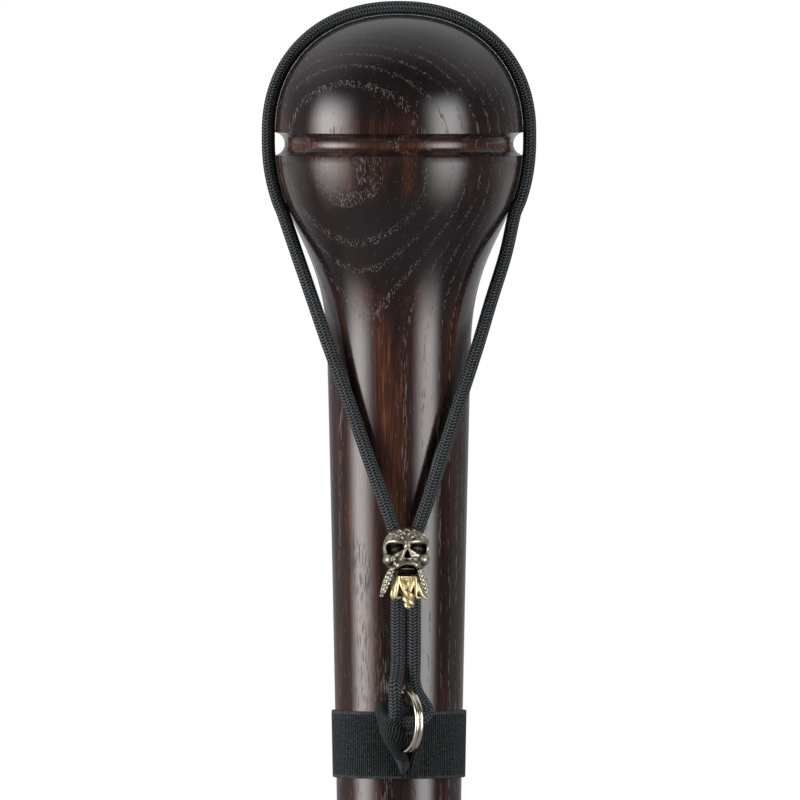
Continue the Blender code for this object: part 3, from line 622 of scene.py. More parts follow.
def foldRows():
    front = stickRadius(band["ringHeight"])
    return joinRows([smoothThrough([(x * mm, -front - out * mm, z * mm) for x, out, z in row], 54)
                     for row in band["fold"]], 34)


def lipRows():
    rows = []
    for height, points in band["lip"]:
        places = [bandSurface(height * mm, math.asin(x / band["lipRadius"]), out * mm) for x, out in points]
        rows.append(smoothThrough(places, 22))
    return joinRows(rows, 22)


elasticBand = joinPieces("elasticBand", [
    clothGrid("belt", beltRows(), closed=True), clothGrid("keeper", keeperRows()),
    clothGrid("fold", foldRows()), clothGrid("lip", lipRows())])
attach(elasticBand, "strap")
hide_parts("elastic_band")
print("elastic band sewn")


# Bead: balls and strands melted into one casting, then hollowed and slotted

bead = {
    "halfWidth": 6.9 * mm, "halfDepth": 6.8 * mm, "halfHeight": 7.9 * mm, "ahead": 1.7 * mm,
    "turn": math.radians(4), "top": 0.7622, "jaw": 6.7 * mm, "channelGap": 0.5 * mm,
    "standoff": 1.1 * mm, "slotFoot": -25.5 * mm, "voxel": 0.15 * mm, "fineVoxel": 0.12 * mm,
}
skullMiddle = bead["top"] - bead["halfHeight"]
beadPlace = Vector((cord["legMiddle"], -cord["legDepth"] - bead["ahead"], skullMiddle))
# every place and size below is in mm from the middle of the skull: to the right, to the back, up


def ball(place, size, tilt=0.0):
    deselectAll()
    bpy.ops.mesh.primitive_uv_sphere_add(segments=32, ring_count=20, radius=mm, location=[v * mm for v in place],
                                         scale=size, rotation=(0, math.radians(tilt), 0))
    return applyPlace()


def roundedBlock(place, size, corner):
    deselectAll()
    bpy.ops.mesh.primitive_cube_add(size=mm, location=[v * mm for v in place], scale=size)
    obj = applyPlace()
    startEdit()
    bpy.ops.mesh.bevel(offset=corner * mm, segments=5)
    bpy.ops.object.mode_set(mode="OBJECT")
    return obj


def lock(points, radii, sides=12, count=28):  # a lock of hair, thinner towards its end
    route = smoothThrough([(*(v * mm for v in p), r * mm) for p, r in zip(points, radii)], count)
    return sweep("lock", route[:, :3], route[:, 3], sides)


def plait(points, radii, strands, turns, spread):  # strands that wind through one another along the points
    guide = smoothThrough([(*p, r) for p, r in zip(points, radii)], 90)
    along = np.gradient(guide[:, :3], axis=0)
    along /= np.linalg.norm(along, axis=1)[:, None]
    pieces = []
    for k in range(strands):
        route = []
        for i, (row, way) in enumerate(zip(guide, along)):
            sideways = np.cross(way, (0, 1, 0))
            sideways /= np.linalg.norm(sideways)
            out = np.cross(sideways, way)
            turn = 2 * math.pi * (turns * i / (len(guide) - 1) + k / strands)
            swing, depth = math.sin(turn), 0.55 * math.sin(2 * turn)
            if strands == 2:
                swing, depth = math.cos(turn), math.sin(turn)
            route.append(tuple(row[:3] + spread * row[3] * (swing * sideways + depth * out)))
        pieces.append(lock(route[::5], [row[3] for row in guide[::5]], sides=10, count=90))
    return pieces


# the face; lines on it are given by places to the right and up, and are laid on the front of the skull
features = {
    "forms": (((0, 0.3, 1.2), (6.9, 6.5, 6.7)), ((0, -0.1, -1.7), (6.7, 5.9, 4.9)),
              ((0, -4.3, -3.3), (4.3, 2.6, 2.2))),
    "chin": ((0, -4.0, -5.5), (4.0, 2.2, 1.5)), "cheek": ((4.75, -2.7, -2.0), (2.4, 3.1, 1.9)), "cheekTilt": 14,
    "bridge": ((4.6, -0.3), (3.0, -0.3), (1.6, -0.05), (0.6, 0.15)),  # up and out
    "brow": ((0.4, 3.2), (2.0, 3.35), (3.8, 3.45), (5.4, 3.15), (6.15, 2.2)),
    "browThick": (0.60, 0.66, 0.66, 0.58, 0.45),
    "scroll": (1.80, 4.40), "scrollTurns": 1.15, "scrollThick": 0.29,
    "twistRise": 6.30, "twistSag": 0.062, "twistSwing": 0.75, "twistPace": 1.30, "twistThick": 0.26,
    # hollows as places and half sizes, the socket's from the nose outwards
    "nose": (((0, -7.6, 0.2), (0.55, 2.2, 1.1)), ((0, -7.2, -0.7), (0.95, 2.2, 0.95))),
    "mouth": ((0, -7.1, -5.1), (6.6, 5.6, 3.0), 1.25),
    "socket": (((1.8, -5.7, 1.75), (1.0, 3.2, 1.0)), ((2.8, -5.5, 1.45), (1.4, 3.2, 1.35)),
               ((3.7, -5.2, 1.20), (1.55, 3.2, 1.65)), ((4.6, -4.8, 1.05), (1.50, 3.2, 1.85)),
               ((5.25, -4.4, 1.10), (1.15, 3.2, 1.75))),
    "cheekHollow": ((3.2, -7.0, -1.8), (2.1, 2.0, 1.6)),
    "socketRim": ((0.75, 2.75), (2.2, 3.05), (3.8, 3.20), (5.4, 2.95), (6.35, 1.9), (6.45, 0.5)),
    # the moustache, with how far each point stands out, and its two plaits with the balls at their ends
    "arch": ((0, -2.95, 0.65), (1.6, -3.15, 0.65), (2.95, -4.0, 0.7), (3.75, -5.5, 0.9), (4.1, -6.9, 1.1)),
    "archThick": (0.50, 0.60, 0.64, 0.60, 0.45),
    "leftPlait": ((-4.2, -5.9, -4.3), (-5.4, -6.2, -6.6), (-6.6, -6.0, -9.8), (-7.6, -5.9, -12.6)),
    "rightPlait": ((3.7, -6.5, -5.0), (4.6, -6.4, -7.4), (5.3, -6.1, -10.2), (5.9, -6.0, -12.5)),
    "plaitEnds": (((-7.65, -5.9, -12.8), (0.65, 0.6, 0.5)), ((5.95, -6.0, -12.7), (0.5, 0.5, 0.45))),
    "teeth": 7, "gum": ((0, -4.9, -4.1), (2.6, 0.9, 0.6)),
}


def toSide(place, sign):
    return (sign * place[0], *place[1:])


def onFace(x, z, out=0.0):  # a point on the front of the skull's main forms
    front = -1.5
    for (cx, cy, cz), (rx, ry, rz) in features["forms"]:
        share = 1 - ((x - cx) / rx) ** 2 - ((z - cz) / rz) ** 2
        if share > 0:
            front = min(front, cy - ry * math.sqrt(share))
    return (x, front - out, z)


def foreheadRelief():  # old knot-work: a scroll over each brow and a two-strand twist across the forehead
    pieces = []
    across, up = features["scroll"]
    for sign in (-1, 1):
        points = []
        for i in range(26):
            turn = 2 * math.pi * features["scrollTurns"] * i / 25
            wide = 0.35 + 0.80 * i / 25
            points.append(onFace(sign * (across + wide * math.cos(turn)), up + 0.95 * wide * math.sin(turn), 0.20))
        points.append(onFace(sign * 0.65, 3.6, 0.12))
        pieces.append(lock(points, [features["scrollThick"]] * len(points), sides=8, count=90))
    for phase in (0, math.pi):
        points = []
        for i in range(49):
            x = -5.6 + 11.2 * i / 48
            swing = features["twistSwing"] * math.cos(x * features["twistPace"] + phase)
            points.append(onFace(x, features["twistRise"] - features["twistSag"] * x * x + swing, 0.16))
        pieces.append(lock(points, [features["twistThick"]] * len(points), sides=8, count=130))
    return pieces


def skullPieces():
    pieces = [ball(*form) for form in (*features["forms"], features["chin"])]
    pieces.append(lock([onFace(0, z, out) for z, out in features["bridge"]], (0.45, 0.50, 0.50, 0.42)))
    place, size = features["cheek"]
    for sign in (-1, 1):
        pieces.append(lock([onFace(sign * x, z, 0.15) for x, z in features["brow"]], features["browThick"]))
        pieces.append(ball(toSide(place, sign), size, sign * features["cheekTilt"]))
    return pieces


def skullHollows():  # nose, mouth, cheeks, and sockets taller at their outer ends, as balls melted together
    hollows = [ball(*form) for form in features["nose"]]
    hollows.append(roundedBlock(*features["mouth"]))
    for sign in (-1, 1):
        for place, size in (*features["socket"], features["cheekHollow"]):
            hollows.append(ball(toSide(place, sign), size))
    melted = joinPieces("hollows", hollows)
    melt(melted, bead["voxel"], 4)
    return melted


def rims():  # the raised edges round the sockets and the nose
    pieces = []
    for sign in (-1, 1):
        eye = [onFace(sign * x, z, 0.08) for x, z in features["socketRim"]]
        pieces.append(lock(eye, [0.34] * len(eye), sides=8, count=80))
        flank = [onFace(0, 1.65, 0.40), onFace(sign * 0.75, 0.5, 0.40), onFace(sign * 1.35, -1.4, 0.25)]
        pieces.append(lock(flank, (0.34, 0.38, 0.36)))
    under = [onFace(-1.3, -1.65, 0.25), onFace(0, -1.8, 0.35), onFace(1.3, -1.65, 0.25)]
    return pieces + [lock(under, (0.30, 0.34, 0.30))]


def faceHair():  # the moustache, an arch over the mouth with a plait on each side, and the upper teeth
    pieces = []
    for sign in (-1, 1):
        pieces.append(lock([onFace(sign * x, z, out) for x, z, out in features["arch"]], features["archThick"]))
    pieces += plait(features["leftPlait"], (0.38, 0.56, 0.56, 0.38), strands=3, turns=2.3, spread=1.05)
    pieces += plait(features["rightPlait"], (0.40, 0.46, 0.46, 0.32), strands=3, turns=2.1, spread=1.05)
    pieces += [ball(*form) for form in features["plaitEnds"]]
    for i in range(features["teeth"]):
        x = -1.8 + 0.6 * i
        pieces.append(ball((x, -5.7 + 0.07 * x * x, -4.7), (0.27, 0.45, 0.42)))
    return pieces + [ball(*features["gum"])]


def cordSlot():  # the slot for both legs of the cord, drawn up from its section and widened at its mouth
    half = cord["legPitch"] / 2 + cord["diameter"] / 2 + bead["channelGap"]
    deep = cord["diameter"] / 2 + bead["channelGap"]
    low = bead["slotFoot"]
    obj = roundedSection((0, bead["ahead"], low), 0, (2 * half, 2 * deep), 0.97 * deep, 12)
    wide = half
    for height, wider in ((cord["beadThroat"] - skullMiddle, 0.0), (cord["beadMouth"] - skullMiddle, 0.0016),
                          (1.5 * bead["halfHeight"], 0.0040)):
        bpy.ops.mesh.extrude_region_move(TRANSFORM_OT_translate={"value": (0, 0, height - low)})
        middle = (0, bead["ahead"], height)
        bpy.ops.transform.resize(value=((half + wider) / wide, 1, 1), center_override=middle)
        wide, low = half + wider, height
    endEdit()
    return obj


def cutBlock(low, high):
    deselectAll()
    bpy.ops.mesh.primitive_cube_add(size=1, location=[(a + b) / 2 for a, b in zip(low, high)],
                                    scale=[b - a for a, b in zip(low, high)])
    return applyPlace()


def carve(obj, cutters):
    for cutter in cutters:
        cut = obj.modifiers.new("Cut", "BOOLEAN")
        cut.operation = "DIFFERENCE"
        cut.solver = "EXACT"
        cut.object = cutter
    applyModifiers(obj)
    for cutter in cutters:
        bpy.data.objects.remove(cutter, do_unlink=True)


def melt(obj, voxel, rounds):
    fuse = obj.modifiers.new("Fuse", "REMESH")
    fuse.mode = "VOXEL"
    fuse.voxel_size = voxel
    soft = obj.modifiers.new("Soften", "SMOOTH")
    soft.iterations = rounds
    soft.factor = 0.5
    applyModifiers(obj)


def finishCasting(body, cutters):
    body.data.transform(Matrix.Rotation(bead["turn"], 4, "Z"))
    carve(body, cutters)
    body.data.transform(Matrix.Translation(beadPlace))
    smoothEdges(body)
    return body


def castSkull():
    w, d, h = bead["halfWidth"], bead["halfDepth"], bead["halfHeight"]
    body = joinPieces("skullBead", skullPieces())
    melt(body, bead["voxel"], 3)
    carve(body, [skullHollows()])
    body = joinPieces("skullBead", [body, *foreheadRelief(), *rims(), *faceHair()])
    melt(body, bead["fineVoxel"], 1)
    behind = beadPlace.y + stickRadius(skullMiddle) + bead["standoff"]
    return finishCasting(body, [
        cordSlot(), cutBlock((-2 * w, -behind, -2 * h), (2 * w, 3 * d, 2 * h)),
        cutBlock((-0.60 * w, -0.72 * d, -1.3 * h), (0.60 * w, 3 * d, -bead["jaw"]))])


beard = {
    "base": (((-0.1, -5.0, -8.2), (3.0, 1.0, 2.2)), ((0, -5.0, -10.4), (3.3, 0.9, 2.2)),
             ((-0.2, -5.7, -9.7), (1.7, 0.8, 1.7))),
    "locks": (
        ((-2.0, -5.6, -7.6), (-1.7, -6.2, -9.2), (-0.9, -6.5, -11.2), (-0.3, -6.4, -12.6)),
        ((1.8, -5.6, -7.6), (1.5, -6.2, -9.2), (0.8, -6.5, -11.2), (0.5, -6.4, -12.6)),
        ((-2.5, -5.3, -5.8), (-2.9, -5.9, -9.0), (-3.3, -6.1, -11.4), (-3.5, -6.0, -12.9),
         (-2.7, -6.2, -13.5), (-1.9, -6.2, -13.2)),
        ((-3.0, -5.1, -7.4), (-3.8, -5.6, -10.0), (-4.4, -5.7, -12.0), (-4.5, -5.7, -13.2), (-3.8, -6.0, -13.7)),
        ((2.3, -5.3, -5.8), (2.5, -5.9, -9.0), (2.6, -6.1, -11.4), (2.5, -6.1, -12.8),
         (3.2, -6.2, -13.5), (4.0, -6.1, -13.3)),
        ((2.8, -5.1, -7.4), (3.4, -5.6, -10.0), (4.0, -5.7, -11.9), (4.9, -5.7, -13.1), (5.8, -5.8, -13.8)),
    ),
    "thick": (0.50, 0.66, 0.66, 0.50, 0.36, 0.26), "curls": 7,
    "tail": ((0.0, -6.1, -11.0), (0.2, -6.4, -13.0), (0.5, -6.4, -15.0), (0.9, -6.1, -16.5)),
}


def castBeard():  # locks with curled ends, a row of curls under the lip, and a thick twisted tail in the middle
    locks = [ball(*form) for form in beard["base"]]
    for points in beard["locks"]:
        locks.append(lock(points, beard["thick"][:len(points)]))
    locks += plait(beard["tail"], (0.60, 0.95, 0.95, 0.50), strands=2, turns=1.2, spread=0.85)
    for i in range(beard["curls"]):
        x = -2.85 + 0.92 * i
        locks.append(ball((x, -5.9 + 0.05 * x * x, -7.25), (0.46, 0.42, 0.40)))
        locks.append(ball((x + 0.4, -6.0 + 0.05 * x * x, -7.95), (0.36, 0.36, 0.34)))
    body = joinPieces("beadBeard", locks)
    melt(body, bead["fineVoxel"], 1)
    cordFront = bead["ahead"] - cord["diameter"] / 2 - bead["channelGap"]
    return finishCasting(body, [cutBlock((-0.02, -0.02, -bead["jaw"] - 0.3 * mm), (0.02, 0.02, 0.016)),
                                cutBlock((-0.02, cordFront, -0.03), (0.02, 0.02, 0.016))])


skullBead = castSkull()
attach(skullBead, "bead")
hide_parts("skull_bead")
beadBeard = castBeard()
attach(beadBeard, "bead")
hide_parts("bead_beard")
print("bead cast,", len(skullBead.data.polygons), "and", len(beadBeard.data.polygons), "faces")


# Ash, stained near black and varnished: a satin gloss, with the open pores of each ring's early wood pale and dull

wood = {
    # height in m and distance of the pith from the stick's axis in dm, by which the rings lie
    "pith": [(0.0, 0.74), (0.60, 0.550), (0.69, 0.525), (0.72, 0.517), (0.768, 0.501), (0.80, 0.488), (0.815, 0.486),
             (0.839, 0.483), (0.894, 0.425), (1.0, 0.40)],
    "pithWay": (0.438, 0.899),  # behind and to the right, so the rings show as loops on the head
    "rings": ((0.0, 76.4, 26.0), (76.4, 100.0, 5.4)),  # from and to these mm from the pith, so many rings
    "sway": {"wander": 1.8, "wobble": 0.7},  # mm that noise moves the rings
    # height in m and how warm the stain looks; the dark band under the head, where the bell faces down, is partly end
    # grain that took more stain and partly painted shade
    "warmthAndShade": [(0.0, 0.9), (0.815, 0.9), (0.832, 0.65), (0.843, 0.16), (0.856, 0.16), (0.863, 0.75),
               (0.881, 0.75), (0.889, 0.10), (1.0, 0.10)],
    # lumps of noise: mm across and along the grain, detail
    "lumps": {"wander": (26, 90, 2), "wobble": (3.5, 14, 2), "uneven": (1.4, 12, 3), "streaks": (3.2, 130, 4),
              "patches": (15, 80, 1), "fibre": (0.33, 14, 3)},
    # vessels: mm apart and long, and where they start
    "vessels": {"big": (0.33, 5.5, 0.0), "small": (0.95, 7.0, 7.0)},
    "open": (0.70, -0.02), "stray": 0.10,  # how wide vessels open in early wood, by noise, and elsewhere
    # a pointed patch of early wood on the shaft's front, in mm: height and place across of its tip, lean, curve,
    # how far its edge wavers and fades in, and its length
    "flame": {"tip": 760.0, "x": -13.4, "lean": 0.07, "curve": 0.46, "waver": 9.0, "edge": (3.0, 6.0), "length": 14.0},
    "dark": "#191415", "brown": "#43291f", "orange": "#6b4028", "pore": "#625d5b", "shadedPore": "#0c0d10",
    "groove": 876.0, "grooveFade": (0.5, 1.7), "poreDepth": 0.042 * mm,
}


def stainedAsh():
    made, add, shader = newMaterial("ash, stained and varnished", 0.18)
    inMm = add("Mapping", add("TexCoord").outputs["Object"], None, None, (1000, 1000, 1000))
    x, y, z = add("SeparateXYZ", inMm).outputs
    inMetres = add("DIVIDE", z, 1000.0)
    noise = {}
    for name, (wide, long, detail) in wood["lumps"].items():
        place = add("Mapping", inMm, None, None, (1 / wide, 1 / wide, 1 / long))
        noise[name] = add("TexNoise", {"Vector": place, "Scale": 1.0, "Detail": detail})
    # distance from the pith, a little uneven, and from it the place in the ring
    pith = add("MULTIPLY", add("FloatCurve", {"Value": inMetres}, stops=wood["pith"]), 100.0)
    squares = []
    for place, share in zip((x, y), wood["pithWay"]):
        away = add("MULTIPLY_ADD", pith, -share, place)
        squares.append(add("MULTIPLY", away, away))
    fromPith = add("SQRT", add("ADD", *squares))
    for name, reach in wood["sway"].items():
        moved = add("MULTIPLY_ADD", noise[name], reach, -reach / 2)
        fromPith = add("ADD", fromPith, moved)
    inner, outer = (add("MapRange", fromPith, start, end, 0.0, rings) for start, end, rings in wood["rings"])
    share = add("FRACT", add("ADD", inner, outer))
    early = add("ValToRGB", share, stops=[(0.0, 0.0), (0.02, 1.0), (0.20, 1.0), (0.34, 0.0)])
    # where a ring runs level with the surface, its early wood shows as a pointed patch
    flame = wood["flame"]
    fromTip = add("SUBTRACT", flame["tip"], z)
    aside = add("SUBTRACT", add("MULTIPLY_ADD", fromTip, -flame["lean"], x), flame["x"])
    spread = add("MULTIPLY", add("POWER", aside, 2.0), flame["curve"])
    inside = add("SUBTRACT", add("MULTIPLY_ADD", noise["wobble"], flame["waver"], fromTip), spread)
    rise = add("MapRange", inside, *flame["edge"])
    fall = add("MapRange", inside, flame["length"], 2.2 * flame["length"], 1.0, 0.0)
    patch = add("MULTIPLY", add("MULTIPLY", rise, fall), add("LESS_THAN", y, 0.0))
    early = add("MAXIMUM", early, patch)
    # vessels: long thin tubes along the grain, cut open by the surface
    reach = add("MULTIPLY", early, add("MULTIPLY_ADD", noise["uneven"], *wood["open"]))
    opened = {}
    for (name, (apart, long, start)), size in zip(wood["vessels"].items(), (reach, wood["stray"])):
        place = add("Mapping", inMm, (start, start, start), None, (1 / apart, 1 / apart, 1 / long))
        cells = add("TexVoronoi", {"Vector": place, "Scale": 1.0})
        opened[name] = add("LESS_THAN", cells, size)
    small = add("MULTIPLY", opened["small"], 0.45)
    pores = add("MAXIMUM", opened["big"], small)
    # the stain: dark, with warm streaks; the lighter, warmer line along the bottom of the groove is a painted
    # highlight
    # darker on the dome and in the band under the head; in that band it is partly painted shade
    warm = add("FloatCurve", {"Value": inMetres}, stops=wood["warmthAndShade"])
    for name, stops in (("streaks", [(0.40, 0.12), (0.66, 1.0)]), ("patches", [(0.40, 0.35), (0.60, 1.0)])):
        warm = add("MULTIPLY", warm, add("ValToRGB", noise[name], stops=stops))
    fromGroove = add("ABSOLUTE", add("SUBTRACT", z, wood["groove"]))
    # painted highlight: a lighter, warmer line round the bottom of the groove
    grooveHighlight = add("MapRange", fromGroove, *wood["grooveFade"], 1.0, 0.0)
    grooveHighlight = add("MULTIPLY", grooveHighlight, add("ValToRGB", noise["patches"], stops=[(0.35, 0.55), (0.62, 1.0)]))
    warm = add("MAXIMUM", warm, grooveHighlight)
    colour = add("Mix", warm, wood["dark"], wood["brown"])
    lit = add("ValToRGB", noise["fibre"], stops=[(0.5, 0.0), (0.7, 0.7)])
    lit = add("MULTIPLY", add("POWER", warm, 2.0), lit)
    colour = add("Mix", lit, colour, wood["orange"])
    shade = add("ValToRGB", noise["fibre"], stops=[(0.3, 0.70), (0.7, 1.35)])
    colour = add("Mix", 1.0, colour, shade, blend_type="MULTIPLY")
    paled = add("MULTIPLY", pores, 0.8)
    # in the pointed patch the pores are near black: painted shade in their open holes
    inPore = add("Mix", patch, wood["pore"], wood["shadedPore"])
    colour = add("Mix", paled, colour, inPore)
    rough = add("MULTIPLY_ADD", pores, 0.5, 0.17)
    relief = add("MULTIPLY", noise["fibre"], 0.22)
    height = add("MULTIPLY_ADD", pores, -1.0, relief)
    connect(shader, colour, rough, height, wood["poreDepth"])
    return made


# Nylon sheath, braided: rows of small V stitches, black, drawn a little coarse so that they show; the grey on their
# crests is a painted highlight and the near black between them painted shade

braid = {"columns": 10.0, "row": 0.95 * mm, "slant": 0.9, "valleyShade": "#030404", "crestHighlight": "#666c70",
         "contrast": 3.4, "depth": 0.22 * mm}


def braidedNylon():
    made, add, shader = newMaterial("nylon, braided", 0.6, ior=1.3)  # a low index, since the fibres shade one another
    uv = add("TexCoord").outputs["UV"]
    around, along, _ = add("SeparateXYZ", uv).outputs
    columns = add("MULTIPLY", around, braid["columns"])
    number = add("FLOOR", columns)
    across = add("SUBTRACT", add("FRACT", columns), 0.5)
    odd = add("MULTIPLY_ADD", add("FLOORED_MODULO", number, 2.0), 2.0, -1.0)
    lean = add("MULTIPLY", add("MULTIPLY", across, odd), braid["slant"])
    rows = add("MULTIPLY_ADD", along, 1 / braid["row"], lean)
    inRow = add("SUBTRACT", add("FRACT", rows), 0.5)
    # each stitch is highest in its middle, and falls off quickly along the row and late across the column
    falls = []
    for place, power in ((inRow, 1.6), (across, 4.0)):
        far = add("ABSOLUTE", add("MULTIPLY", place, 2.0))
        falls.append(add("SUBTRACT", 1.0, add("POWER", far, power)))
    edge = add("MULTIPLY_ADD", falls[1], 0.65, 0.35)
    height = add("MULTIPLY", falls[0], edge)
    place = add("Mapping", uv, None, None, (40, 1500, 1))
    threads = add("TexNoise", {"Vector": place, "Scale": 1.0, "Detail": 2.0})
    threads = add("MULTIPLY_ADD", threads, 1.2, 0.3)
    # painted highlight: the higher a stitch, the lighter its grey; painted shade: near black between the stitches
    light = add("MULTIPLY", add("POWER", height, braid["contrast"]), threads, use_clamp=True)
    colour = add("Mix", light, braid["valleyShade"], braid["crestHighlight"])
    connect(shader, colour, height=height, depth=braid["depth"])
    return made


# Polyester elastic, woven over rubber: fine ribs across the band, charcoal black and matt; the grey on the raised
# weave is a painted highlight and the near black in its hollows painted shade

weave = {"rib": 0.70 * mm, "pick": 0.50 * mm, "selvedge": 0.9 * mm, "valleyShade": "#040505", "crestHighlight": "#7c8387",
         "contrast": 3.0, "depth": 0.16 * mm}


def ribbedElastic():
    made, add, shader = newMaterial("polyester elastic, woven", 0.85, ior=1.25)
    uv = add("TexCoord").outputs["UV"]
    along, across, _ = add("SeparateXYZ", uv).outputs
    waves = []
    for place, pitch in ((along, weave["rib"]), (across, weave["pick"])):
        wave = add("PINGPONG", add("MULTIPLY", place, 1 / pitch), 0.5)
        waves.append(add("MULTIPLY", wave, 2.0))
    fromMiddle = add("ABSOLUTE", add("SUBTRACT", across, band["width"] / 2))
    atEdge = add("GREATER_THAN", fromMiddle, band["width"] / 2 - weave["selvedge"])
    height = add("MULTIPLY", waves[0], add("MULTIPLY_ADD", waves[1], 0.45, 0.55))
    bound = add("MULTIPLY", atEdge, add("MULTIPLY_ADD", waves[0], 0.4, 0.45))
    height = add("MAXIMUM", height, bound)
    place = add("Mapping", uv, None, None, (1900, 1300, 1))
    fuzz = add("TexNoise", {"Vector": place, "Scale": 1.0, "Detail": 2.0})
    fuzz = add("ValToRGB", fuzz, stops=[(0.36, 0.2), (0.64, 1.0)])
    # painted highlight on the raised weave, painted shade in its hollows
    light = add("MULTIPLY", add("POWER", height, weave["contrast"]), fuzz)
    colour = add("Mix", light, weave["valleyShade"], weave["crestHighlight"])
    connect(shader, colour, height=height, depth=weave["depth"])
    return made


# Nickel plate, tumbled: bright, with a warm cast and faint hairlines

nickel = {"low": "#d8cdb9", "high": "#efe6d8", "hairlines": 900.0}


def platedNickel():
    made, add, shader = newMaterial("nickel plate, tumbled", 0.16, 1.0)
    fine = add("TexNoise", {"Vector": add("TexCoord").outputs["Object"], "Scale": nickel["hairlines"]})
    colour = add("Mix", fine, nickel["low"], nickel["high"])
    connect(shader, colour, add("MULTIPLY_ADD", fine, 0.12, 0.08))
    return made


# Nickel silver and brass, cast and patinated: dark in the hollows, rubbed bright on what stands out
# from and full are how open a place is where the rubbed metal starts to show and where it is all there is

silver = {"name": "nickel silver, cast and patinated", "dark": "#0c0b0a", "bright": "#b4ad9a",
          "rough": 0.34, "from": 0.55, "full": 0.92}
brass = {"name": "brass, cast and patinated", "dark": "#4a3416", "bright": "#ead6a4",
         "rough": 0.42, "from": 0.36, "full": 0.92}


def castMetal(metal):
    made, add, shader = newMaterial(metal["name"], metal["rough"], 1.0)
    hollow = add("AmbientOcclusion", {"Distance": 3.0 * mm}, samples=8).outputs["AO"]
    grain = add("TexNoise", {"Vector": add("TexCoord").outputs["Object"], "Scale": 2600.0, "Detail": 3.0})
    worn = add("ADD", add("MULTIPLY_ADD", grain, 0.3, -0.15), hollow)
    colour = add("ValToRGB", worn, stops=[(metal["from"], metal["dark"]), (metal["full"], metal["bright"])])
    dull = add("MapRange", worn, metal["from"], metal["full"], 0.7, metal["rough"])
    connect(shader, colour, dull, height=grain, depth=0.01 * mm)
    return made


# Natural rubber, moulded: matt black, faintly dusty, with a fine grain

rubber = {"black": "#141415", "dust": "#3a3937"}


def mouldedRubber():
    made, add, shader = newMaterial("rubber, moulded", 0.72)
    place = add("TexCoord").outputs["Object"]
    dust = add("TexNoise", {"Vector": place, "Scale": 60.0, "Detail": 4.0})
    grain = add("TexNoise", {"Vector": place, "Scale": 1800.0})
    dusty = add("ValToRGB", dust, stops=[(0.45, 0.0), (0.75, 0.5)])
    colour = add("Mix", dusty, rubber["black"], rubber["dust"])
    connect(shader, colour, height=grain, depth=0.025 * mm)
    return made


# Mild steel, zinc plated: pale grey, with a faint cloudy spangle

zinc = {"low": "#9b9ea0", "high": "#c4c6c6", "spangle": 700.0}


def platedSteel():
    made, add, shader = newMaterial("steel, zinc plated", 0.35, 1.0)
    cloud = add("TexNoise", {"Vector": add("TexCoord").outputs["Object"], "Scale": zinc["spangle"], "Detail": 3.0})
    colour = add("Mix", cloud, zinc["low"], zinc["high"])
    connect(shader, colour, add("MULTIPLY_ADD", cloud, 0.2, 0.25))
    return made


def dress(obj, material):
    obj.data.materials.clear()
    obj.data.materials.append(material)


dress(turnedStick, stainedAsh())
dress(wristCord, braidedNylon())
dress(elasticBand, ribbedElastic())
dress(splitRing, platedNickel())
dress(skullBead, castMetal(silver))
dress(beadBeard, castMetal(brass))
dress(rubberFoot, mouldedRubber())
dress(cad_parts["ferrule_washer"], platedSteel())
print("materials made")


# Studio: pale paper that the camera sees as white with the stick's shadow on it, two tall soft lights and a dim room

floor = {"radius": 9.0, "paper": "#8a8a8a", "seen": 0.85, "mirrored": 0.55, "below": 0.86}
lamps = {
    # azimuth from the front (left is minus), distance, height, wide, tall, watts
    "leftSoftbox": (-71, 1.10, 0.97, 0.58, 1.1, 13.0),
    "leftCore": (-76, 1.08, 0.93, 0.30, 0.8, 6.0),
    "rightSoftbox": (50, 1.10, 0.95, 0.56, 1.0, 10.0),
}
glows = {
    # what gloss shows of each softbox, in degrees: where it fades in and out round from the front, where it does
    # so upwards, and its level
    "left": ((-96, -72, -68, -38), (-38, 12, 6, 32), 10.8),
    "right": ((20, 45, 52, 71), (-44, 4, 12, 34), 7.8),
}
ceiling = {"up": (10, 50), "back": (-0.5, 0.1), "level": 0.55}


def degreesRound(add, x, y):  # from the front
    turn = add("ARCTAN2", x, add("MULTIPLY", y, -1.0))
    return add("MULTIPLY", turn, 180 / math.pi)


def softGlow(add, around, up):  # the softboxes' glow in a direction given in degrees
    total = None
    for azimuths, heights, level in glows.values():
        glow = level
        for value, marks in ((around, azimuths), (up, heights)):
            rise = add("MapRange", value, marks[0], marks[1], interpolation_type="SMOOTHSTEP")
            fall = add("MapRange", value, marks[2], marks[3], 1.0, 0.0, interpolation_type="SMOOTHSTEP")
            glow = add("MULTIPLY", glow, add("MULTIPLY", rise, fall))
        total = add("ADD", glow, total or 0.0)
    return total


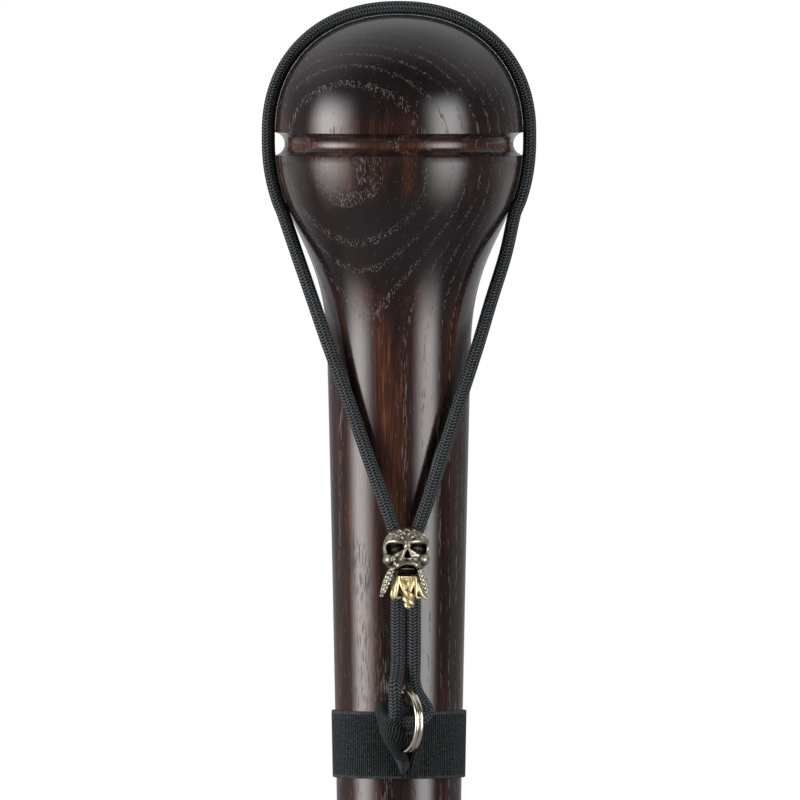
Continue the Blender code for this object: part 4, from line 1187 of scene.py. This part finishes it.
def paleFloor():
    deselectAll()
    bpy.ops.mesh.primitive_circle_add(vertices=96, radius=floor["radius"], fill_type="NGON")
    obj = bpy.context.object
    obj.name = "paleFloor"
    made, add, shader = newMaterial("paper, pale", 0.9)
    rays = add("LightPath")
    place = add("TexCoord").outputs["Object"]
    x, y, _ = add("SeparateXYZ", place).outputs
    # gloss on the head sees white paper behind the stick and the softboxes' pools of light beside it
    away = add("VectorMath", place, operation="LENGTH").outputs["Value"]
    down = add("ARCTAN2", -floor["below"], away)
    glow = softGlow(add, degreesRound(add, x, y), add("MULTIPLY", down, 180 / math.pi))
    behind = add("MapRange", y, 0.3, 2.0, 0.0, floor["mirrored"])
    mirrored = add("MULTIPLY", add("ADD", behind, glow), rays.outputs["Is Glossy Ray"])
    strength = add("MULTIPLY_ADD", rays.outputs["Is Camera Ray"], floor["seen"], mirrored)
    setInputs(shader, {"Base Color": floor["paper"], "Emission Color": (1, 1, 1, 1), "Emission Strength": strength})
    dress(obj, made)


def placeLamps():
    for name, (azimuth, distance, height, wide, tall, watts) in lamps.items():
        turn = math.radians(azimuth)
        place = Vector((math.sin(turn) * distance, -math.cos(turn) * distance, height))
        bpy.ops.object.light_add(type="AREA", location=place)
        lamp = bpy.context.object
        lamp.name = name
        lamp.data.shape = "RECTANGLE"
        lamp.data.size = wide
        lamp.data.size_y = tall
        lamp.data.energy = watts
        lamp.rotation_euler = (Vector((0, 0, 0.85)) - place).to_track_quat("-Z", "Y").to_euler()
        lamp.visible_camera = False
        lamp.visible_glossy = False


def studioWorld():
    world = bpy.data.worlds.new("studio")
    bpy.context.scene.world = world
    world.use_nodes = True
    add = partial(addNode, world.node_tree)
    x, y, z = add("SeparateXYZ", add("TexCoord").outputs["Generated"]).outputs
    up = add("MULTIPLY", add("ARCSINE", z), 180 / math.pi)
    # gloss sees the softboxes, a pale ceiling, the white backdrop behind and a dim room elsewhere
    mirrored = add("ValToRGB", y, stops=[(0.0, 0.05), (0.30, 0.20), (0.80, 0.26), (0.97, 0.40)])
    mirrored = add("ADD", mirrored, softGlow(add, degreesRound(add, x, y), up))
    glow = ceiling["level"]
    for value, marks in ((up, ceiling["up"]), (y, ceiling["back"])):
        rise = add("MapRange", value, *marks, interpolation_type="SMOOTHSTEP")
        glow = add("MULTIPLY", glow, rise)
    mirrored = add("ADD", mirrored, glow)
    # the back of the stick gets light too, and the camera sees white
    scattered = add("ValToRGB", y, stops=[(0.0, 0.12), (0.60, 0.90)])
    rays = add("LightPath")
    seen = add("MAXIMUM", rays.outputs["Is Camera Ray"], rays.outputs["Is Transmission Ray"])
    strength = add("Mix", rays.outputs["Is Glossy Ray"], scattered, mirrored)
    strength = add("Mix", seen, strength, (1.0, 1.0, 1.0, 1.0))
    setInputs(world.node_tree.nodes["Background"], {"Color": strength})


paleFloor()
placeLamps()
studioWorld()
bpy.context.scene.view_settings.view_transform = "Standard"
print("studio lit")
